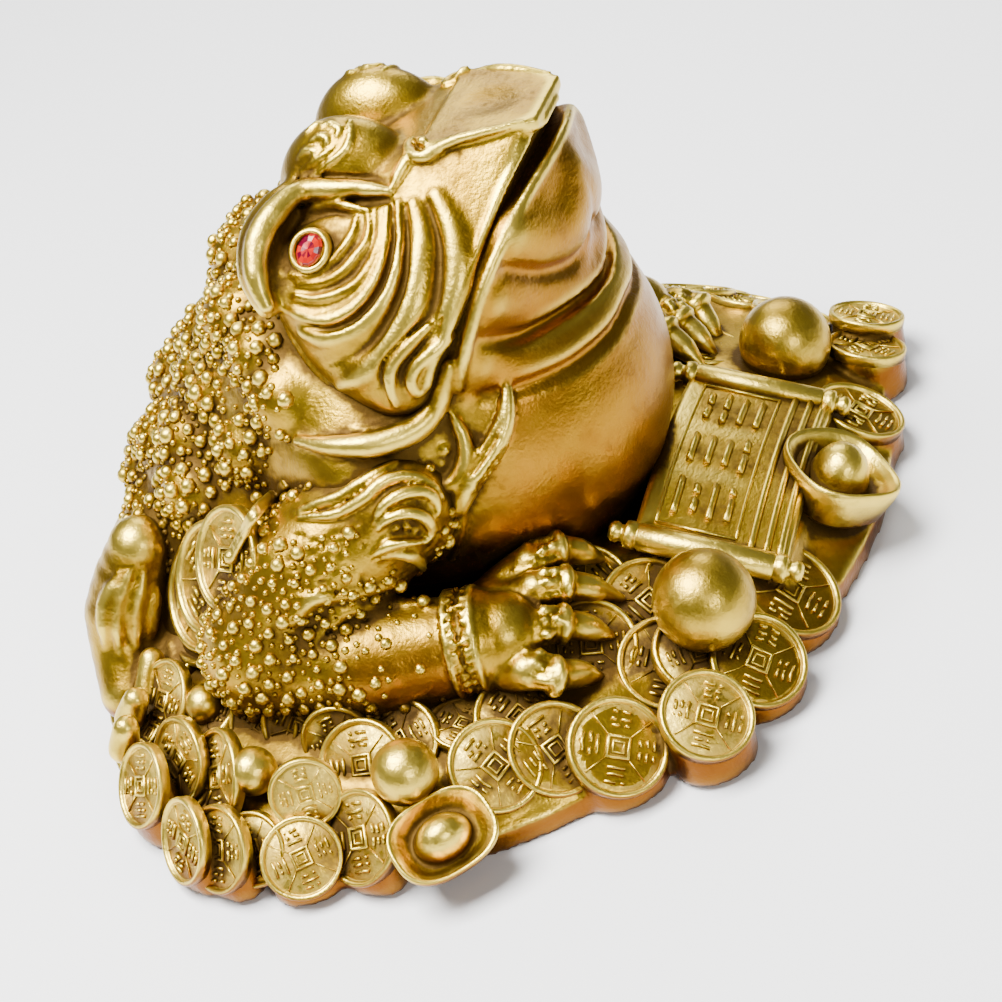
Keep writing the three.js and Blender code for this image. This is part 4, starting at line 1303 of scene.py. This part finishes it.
def ball_at(place, radius):
    profile = [(radius * math.sin(t), -radius * math.cos(t)) for t in np.linspace(0, math.pi, 25)]
    points, faces = lathe(profile, 40)
    return np.array(points) + place, faces


balls = [ball_at(rested(pixel, 0, 0.45 * radius), radius) for pixel, radius in BALLS]
balls.append(ball_at(on_heap(*HIDDEN_BALL[0], 0.45 * HIDDEN_BALL[1]), HIDDEN_BALL[1]))
brass_piece("balls", *joined(balls))


def ingot_mesh(long, deep):
    """A boat of gold: a round hump inside, and a hull that turns squarer towards its rim."""
    points, rings = [], []
    for share, level in INGOT_PROFILE:
        turns = np.arange(INGOT_SIDES if share else 1) * math.tau / INGOT_SIDES
        rings.append(list(range(len(points), len(points) + len(turns))))
        squared = min(1, max(0, (share - 0.56) / 0.3))
        for t in turns:
            c, s = math.cos(t), math.sin(t)
            square = 1 / (abs(c) ** INGOT_POWER + abs(s) ** INGOT_POWER) ** (1 / INGOT_POWER)
            reach = share * (1 + (square - 1) * squared)
            rise = 0.08 * c * c * squared * (level > -0.1)
            points.append((reach * long / 2 * c, reach * deep / 2 * s, (level + rise) * deep * 0.6))
    return points, ring_faces(rings[::-1])


ingots = []
for pixel, level, long, deep, facing, tilt, spin in INGOTS:
    ingots.append(laid(ingot_mesh(long, deep), rested(pixel, level, 1.5), facing, tilt, spin))
brass_piece("ingots", *joined(ingots))


# The stones: red faceted crystals, glued into round brass collets at the eyes and on the back.
GEM_FACETS = 12
EYE_FACING, EYE_TILT = -9.2, 48.6
red_stone = bpy.data.materials.new("red_stone")
stones = [
    # node, facing, tilt, spin, half length and half width
    ("right_eye_gem", 180 - EYE_FACING, EYE_TILT, 60, (2.1, 1.55)),
    ("left_eye_gem", EYE_FACING, EYE_TILT, 120, (2.1, 1.55)),
    ("back_gem", 90, 93, 0, (1.5, 1.5)),
]
CROWN = [(0, -1.0), (0.55, -0.7), (0.99, 0.0), (0.99, 0.12), (0.8, 0.5), (0.5, 0.72), (0, 0.74)]
COLLET = [(1.0, -1.4), (1.0, 0.2), (1.08, 0.42), (1.24, 0.36), (1.36, 0.1), (1.42, -1.4), (1.0, -1.4)]
collets = []
for node, facing, tilt, spin, (half_long, half_short) in stones:
    low, high = (np.array(corner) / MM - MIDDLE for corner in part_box(node))
    centre = (low + high) / 2
    points, faces = lathe(CROWN, GEM_FACETS)
    points = [(x * half_long, y * half_short, z) for x, y, z in points]
    points, faces = laid((points, faces), centre, facing, tilt, spin)
    stone = mesh_object(node + "_stone", ((points + MIDDLE) * MM).tolist(), faces)
    stone.data.materials.append(red_stone)
    # Painted glints: each facet of a stone gets a random share, which its material turns into lighter and
    # darker red and a painted glow.
    tones = np.random.default_rng(len(collets)).uniform(0, 1, len(faces))
    marked(stone, "facet_glint", tones, domain="FACE")
    bpy.context.scene.collection.objects.link(stone)
    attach(stone, "root")
    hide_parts(node)
    points, faces = lathe(COLLET, 40)
    points = [(x * (half_long - 0.3) * 1.12, y * (half_short + 0.1) * 1.12, z) for x, y, z in points]
    collets.append(laid((points, faces), centre, facing, tilt, spin))
brass_piece("eye_collets", *joined(collets))


# The finish: satin brass with a brown film in the hollows, worn bright on what stands proud.
# How hollow a place is comes from how much brass there is round it, near and further away.
# Painted shade also darkens the brass near the ground.
# Painted shade and painted reflection go into the colour too: orange-brown on what faces down, on the
# throat and on the forearms.
AIR_CELL = 0.5
AIR_EDGE = 4    # cells of air kept round the figure
REACHES = {"fine": 0.8, "middle": 2.0, "deep": 6.0}
every_point, every_triangle, start = [], [], 0
for piece in brass_pieces:
    every_point.append(places_of(piece))
    piece.data.calc_loop_triangles()
    every_triangle.append(threes(piece.data.loop_triangles, "vertices", np.int32) + start)
    start += len(every_point[-1])
shell = openvdb.FloatGrid.createLevelSetFromPolygons(
    np.concatenate(every_point).astype(np.float32),
    triangles=np.concatenate(every_triangle).astype(np.uint32),
    transform=openvdb.createLinearTransform(voxelSize=AIR_CELL), halfWidth=3.0,
)
low, high = shell.evalActiveVoxelBoundingBox()
first = np.array(low) - AIR_EDGE
around = np.empty(np.array(high) - first + AIR_EDGE + 1, np.float32)
shell.copyToArray(around, ijk=tuple(int(i) for i in first))
filled = np.clip(0.5 - around / AIR_CELL, 0, 1)


def spread(block, reach):
    """The mean over a cube of cells around each one."""
    for axis in range(3):
        padding = [(reach + 1, reach) if i == axis else (0, 0) for i in range(3)]
        total = np.cumsum(np.pad(block, padding), axis=axis, dtype=np.float64)
        count = block.shape[axis]
        upper = np.take(total, np.arange(count) + 2 * reach + 1, axis=axis)
        lower = np.take(total, np.arange(count), axis=axis)
        block = ((upper - lower) / (2 * reach + 1)).astype(np.float32)
    return block


fullness = Clay((0, 0, 0), (1, 1, 1), AIR_CELL, halved=False)
fullness.axes = [(first[i] + np.arange(around.shape[i])) * AIR_CELL for i in range(3)]
levels = {}
for name, reach in REACHES.items():
    cells = max(1, round(reach / AIR_CELL))
    fullness.field = spread(spread(filled, cells), max(1, cells // 2))
    levels[name] = [fullness.depth(points) - 0.5 for points in every_point]
for i, piece in enumerate(brass_pieces):
    fine, middle, deep = (levels[name][i] for name in REACHES)
    down = -threes(piece.data.vertices, "normal")[:, 2]
    handled = 0.3 if "coins" in piece.name or "scroll" in piece.name else 0.0
    marked(piece, "proud", np.clip(handled - 2.2 * fine - 1.0 * middle, 0, 1))
    x, y, z = every_point[i].T
    # Painted shade: dark brown near the ground, most where the surface faces down.
    marked(piece, "low", (1 - ramp(z, 4.5, 3.5)) * np.clip(0.9 + down * 1.5, 0, 1))
    # Painted shade and painted reflection: orange-brown on what faces down and lies deep among brass, on
    # the throat and on the front of the forearms, through the under mark.
    shaded = np.clip(0.5 + 0.5 * down, 0, 1) * np.clip(0.35 + deep * 2.2, 0, 1)
    throat = ramp(y, -8, -8) * (piece is toad_body)
    hollow = 1.4 * fine + 1.3 * middle + 0.45 * deep
    marked(piece, "hollow", np.clip(hollow * (1 - 0.8 * throat), 0, 1))
    forearm = ramp(y, 9, -8) * ramp(y, -12, 3) * ramp(z, 23, -4) * (piece in (left_arm, right_arm))
    marked(piece, "under", np.clip(shaded * 1.1 + 0.55 * throat + 0.62 * forearm, 0, 1))

GOLD, DEEP_GOLD, BROWN = (0.44, 0.272, 0.012, 1), (0.28, 0.158, 0.006, 1), (0.055, 0.026, 0.003, 1)
SHADE_AND_REFLECTION_ORANGE, PALE, FILM = (0.29, 0.112, 0.005, 1), (0.95, 0.72, 0.10, 1), (0.22, 0.14, 0.036, 1)
GROUND_SHADE_BROWN = (0.15, 0.042, 0.005, 1)
RED, DARK_RED = (0.36, 0.006, 0.001, 1), (0.07, 0.0, 0.010, 1)
GLOW, NO_GLOW = (0.8, 0.03, 0.0, 1), (0.02, 0, 0, 1)


def opened(material):
    """A material's shader, and the signal of the places in its object."""
    material.use_nodes = True
    tree = material.node_tree
    place = Signal(tree, tree.nodes.new("ShaderNodeTexCoord").outputs["Object"])
    return tree.nodes["Principled BSDF"], place


def wired(shader, signals):
    for name, signal in signals.items():
        signal.tree.links.new(signal.socket, shader.inputs[name])


def noise(scale, detail):
    return place.node("ShaderNodeTexNoise", {}, {"Vector": place, "Scale": scale, "Detail": detail})


def mark(name):
    return place.node("ShaderNodeAttribute", {"attribute_name": name}, {}, "Fac")


shader, place = opened(brass)
patches, grain, specks = noise(140, 4.0), noise(2600, 3.0), noise(900, 3.0)
dirt = (mark("hollow") + (patches - 0.5) * 0.3 + (specks - 0.5) * 0.35).between(0.07, 0.4)
film = mark("film") * (grain + specks - 0.5).between(0.25, 0.65)
stain = specks.between(0.48, 0.68) * patches.between(0.4, 0.7)
colour = patches.between(0.35, 0.65).mix(GOLD, DEEP_GOLD)
colour = (stain * 0.35).mix(colour, BROWN)
# Painted shade and painted reflection: orange-brown where the under mark is high.
colour = (mark("under").between(0.3, 0.8) * 0.85).mix(colour, SHADE_AND_REFLECTION_ORANGE)
colour = (mark("proud").between(0.1, 0.45) * 0.65).mix(colour, PALE)
# Painted shade: dark brown low down, near the ground.
colour = (mark("low").between(0.1, 0.6) * 0.92).mix(colour, GROUND_SHADE_BROWN)
colour = (film * 0.45).mix(colour, FILM)
colour = (dirt * 0.94).mix(colour, BROWN)
roughness = 0.27 + patches * 0.1 + dirt * 0.28 + film * 0.22 + stain * 0.12
metal = 1.0 - dirt * 0.12 - film * 0.12
relief = grain * 0.7 + specks
bump = place.node("ShaderNodeBump", {}, {"Strength": 0.45, "Distance": 0.00015, "Height": relief})
wired(shader, {"Base Color": colour, "Roughness": roughness, "Metallic": metal, "Normal": bump})

shader, place = opened(red_stone)
# Painted glint and glow: each facet gets a random tone between bright red and dark red, and the brighter
# facets glow, for the light playing in the stone.
facet_glint, clouds = mark("facet_glint"), noise(500, 2.0)
wired(shader, {
    "Base Color": (facet_glint * 0.8 + clouds * 0.2).between(0.25, 0.75).mix(RED, DARK_RED),
    "Emission Color": (1.0 - facet_glint).mix(NO_GLOW, GLOW),
    "Roughness": 0.06 + clouds * 0.08,
    "Normal": place.node("ShaderNodeBump", {}, {"Strength": 0.05, "Distance": 0.0001, "Height": clouds}),
})
shader.inputs["Emission Strength"].default_value = 0.25
shader.inputs["Specular IOR Level"].default_value = 0.3
shader.inputs["Coat Weight"].default_value = 0.1


# The stage: a white floor and the studio's lights. A wide key light hangs high over the toad,
# with a weak fill on its left and a small one in front, under a dim pale sky.
FLOOR = 3.0
bpy.ops.mesh.primitive_plane_add(size=FLOOR)
floor = bpy.context.object
floor.name = "floor"
paint = bpy.data.materials.new("floor")
paint.use_nodes = True
paint.node_tree.nodes["Principled BSDF"].inputs["Base Color"].default_value = (0.86, 0.86, 0.86, 1)
floor.data.materials.append(paint)
world = bpy.data.worlds.new("studio")
bpy.context.scene.world = world
world.use_nodes = True
world.node_tree.nodes["Background"].inputs["Color"].default_value = (0.9, 0.92, 0.95, 1)
world.node_tree.nodes["Background"].inputs["Strength"].default_value = 0.22
for name, place, size, power in (
    # name, place and size in metres, power in watts
    ("key", (-0.12, 0.14, 0.5), 0.3, 13.0),
    ("fill", (0.42, 0.1, 0.36), 0.3, 1.7),
    ("front", (-0.4, -0.4, 0.3), 0.14, 1.5),
):
    lamp = bpy.data.objects.new(name, bpy.data.lights.new(name, "AREA"))
    lamp.data.size = size
    lamp.data.energy = power
    lamp.location = place
    lamp.rotation_euler = (Vector((0, 0, 0.03)) - Vector(place)).to_track_quat("-Z", "Y").to_euler()
    bpy.context.scene.collection.objects.link(lamp)
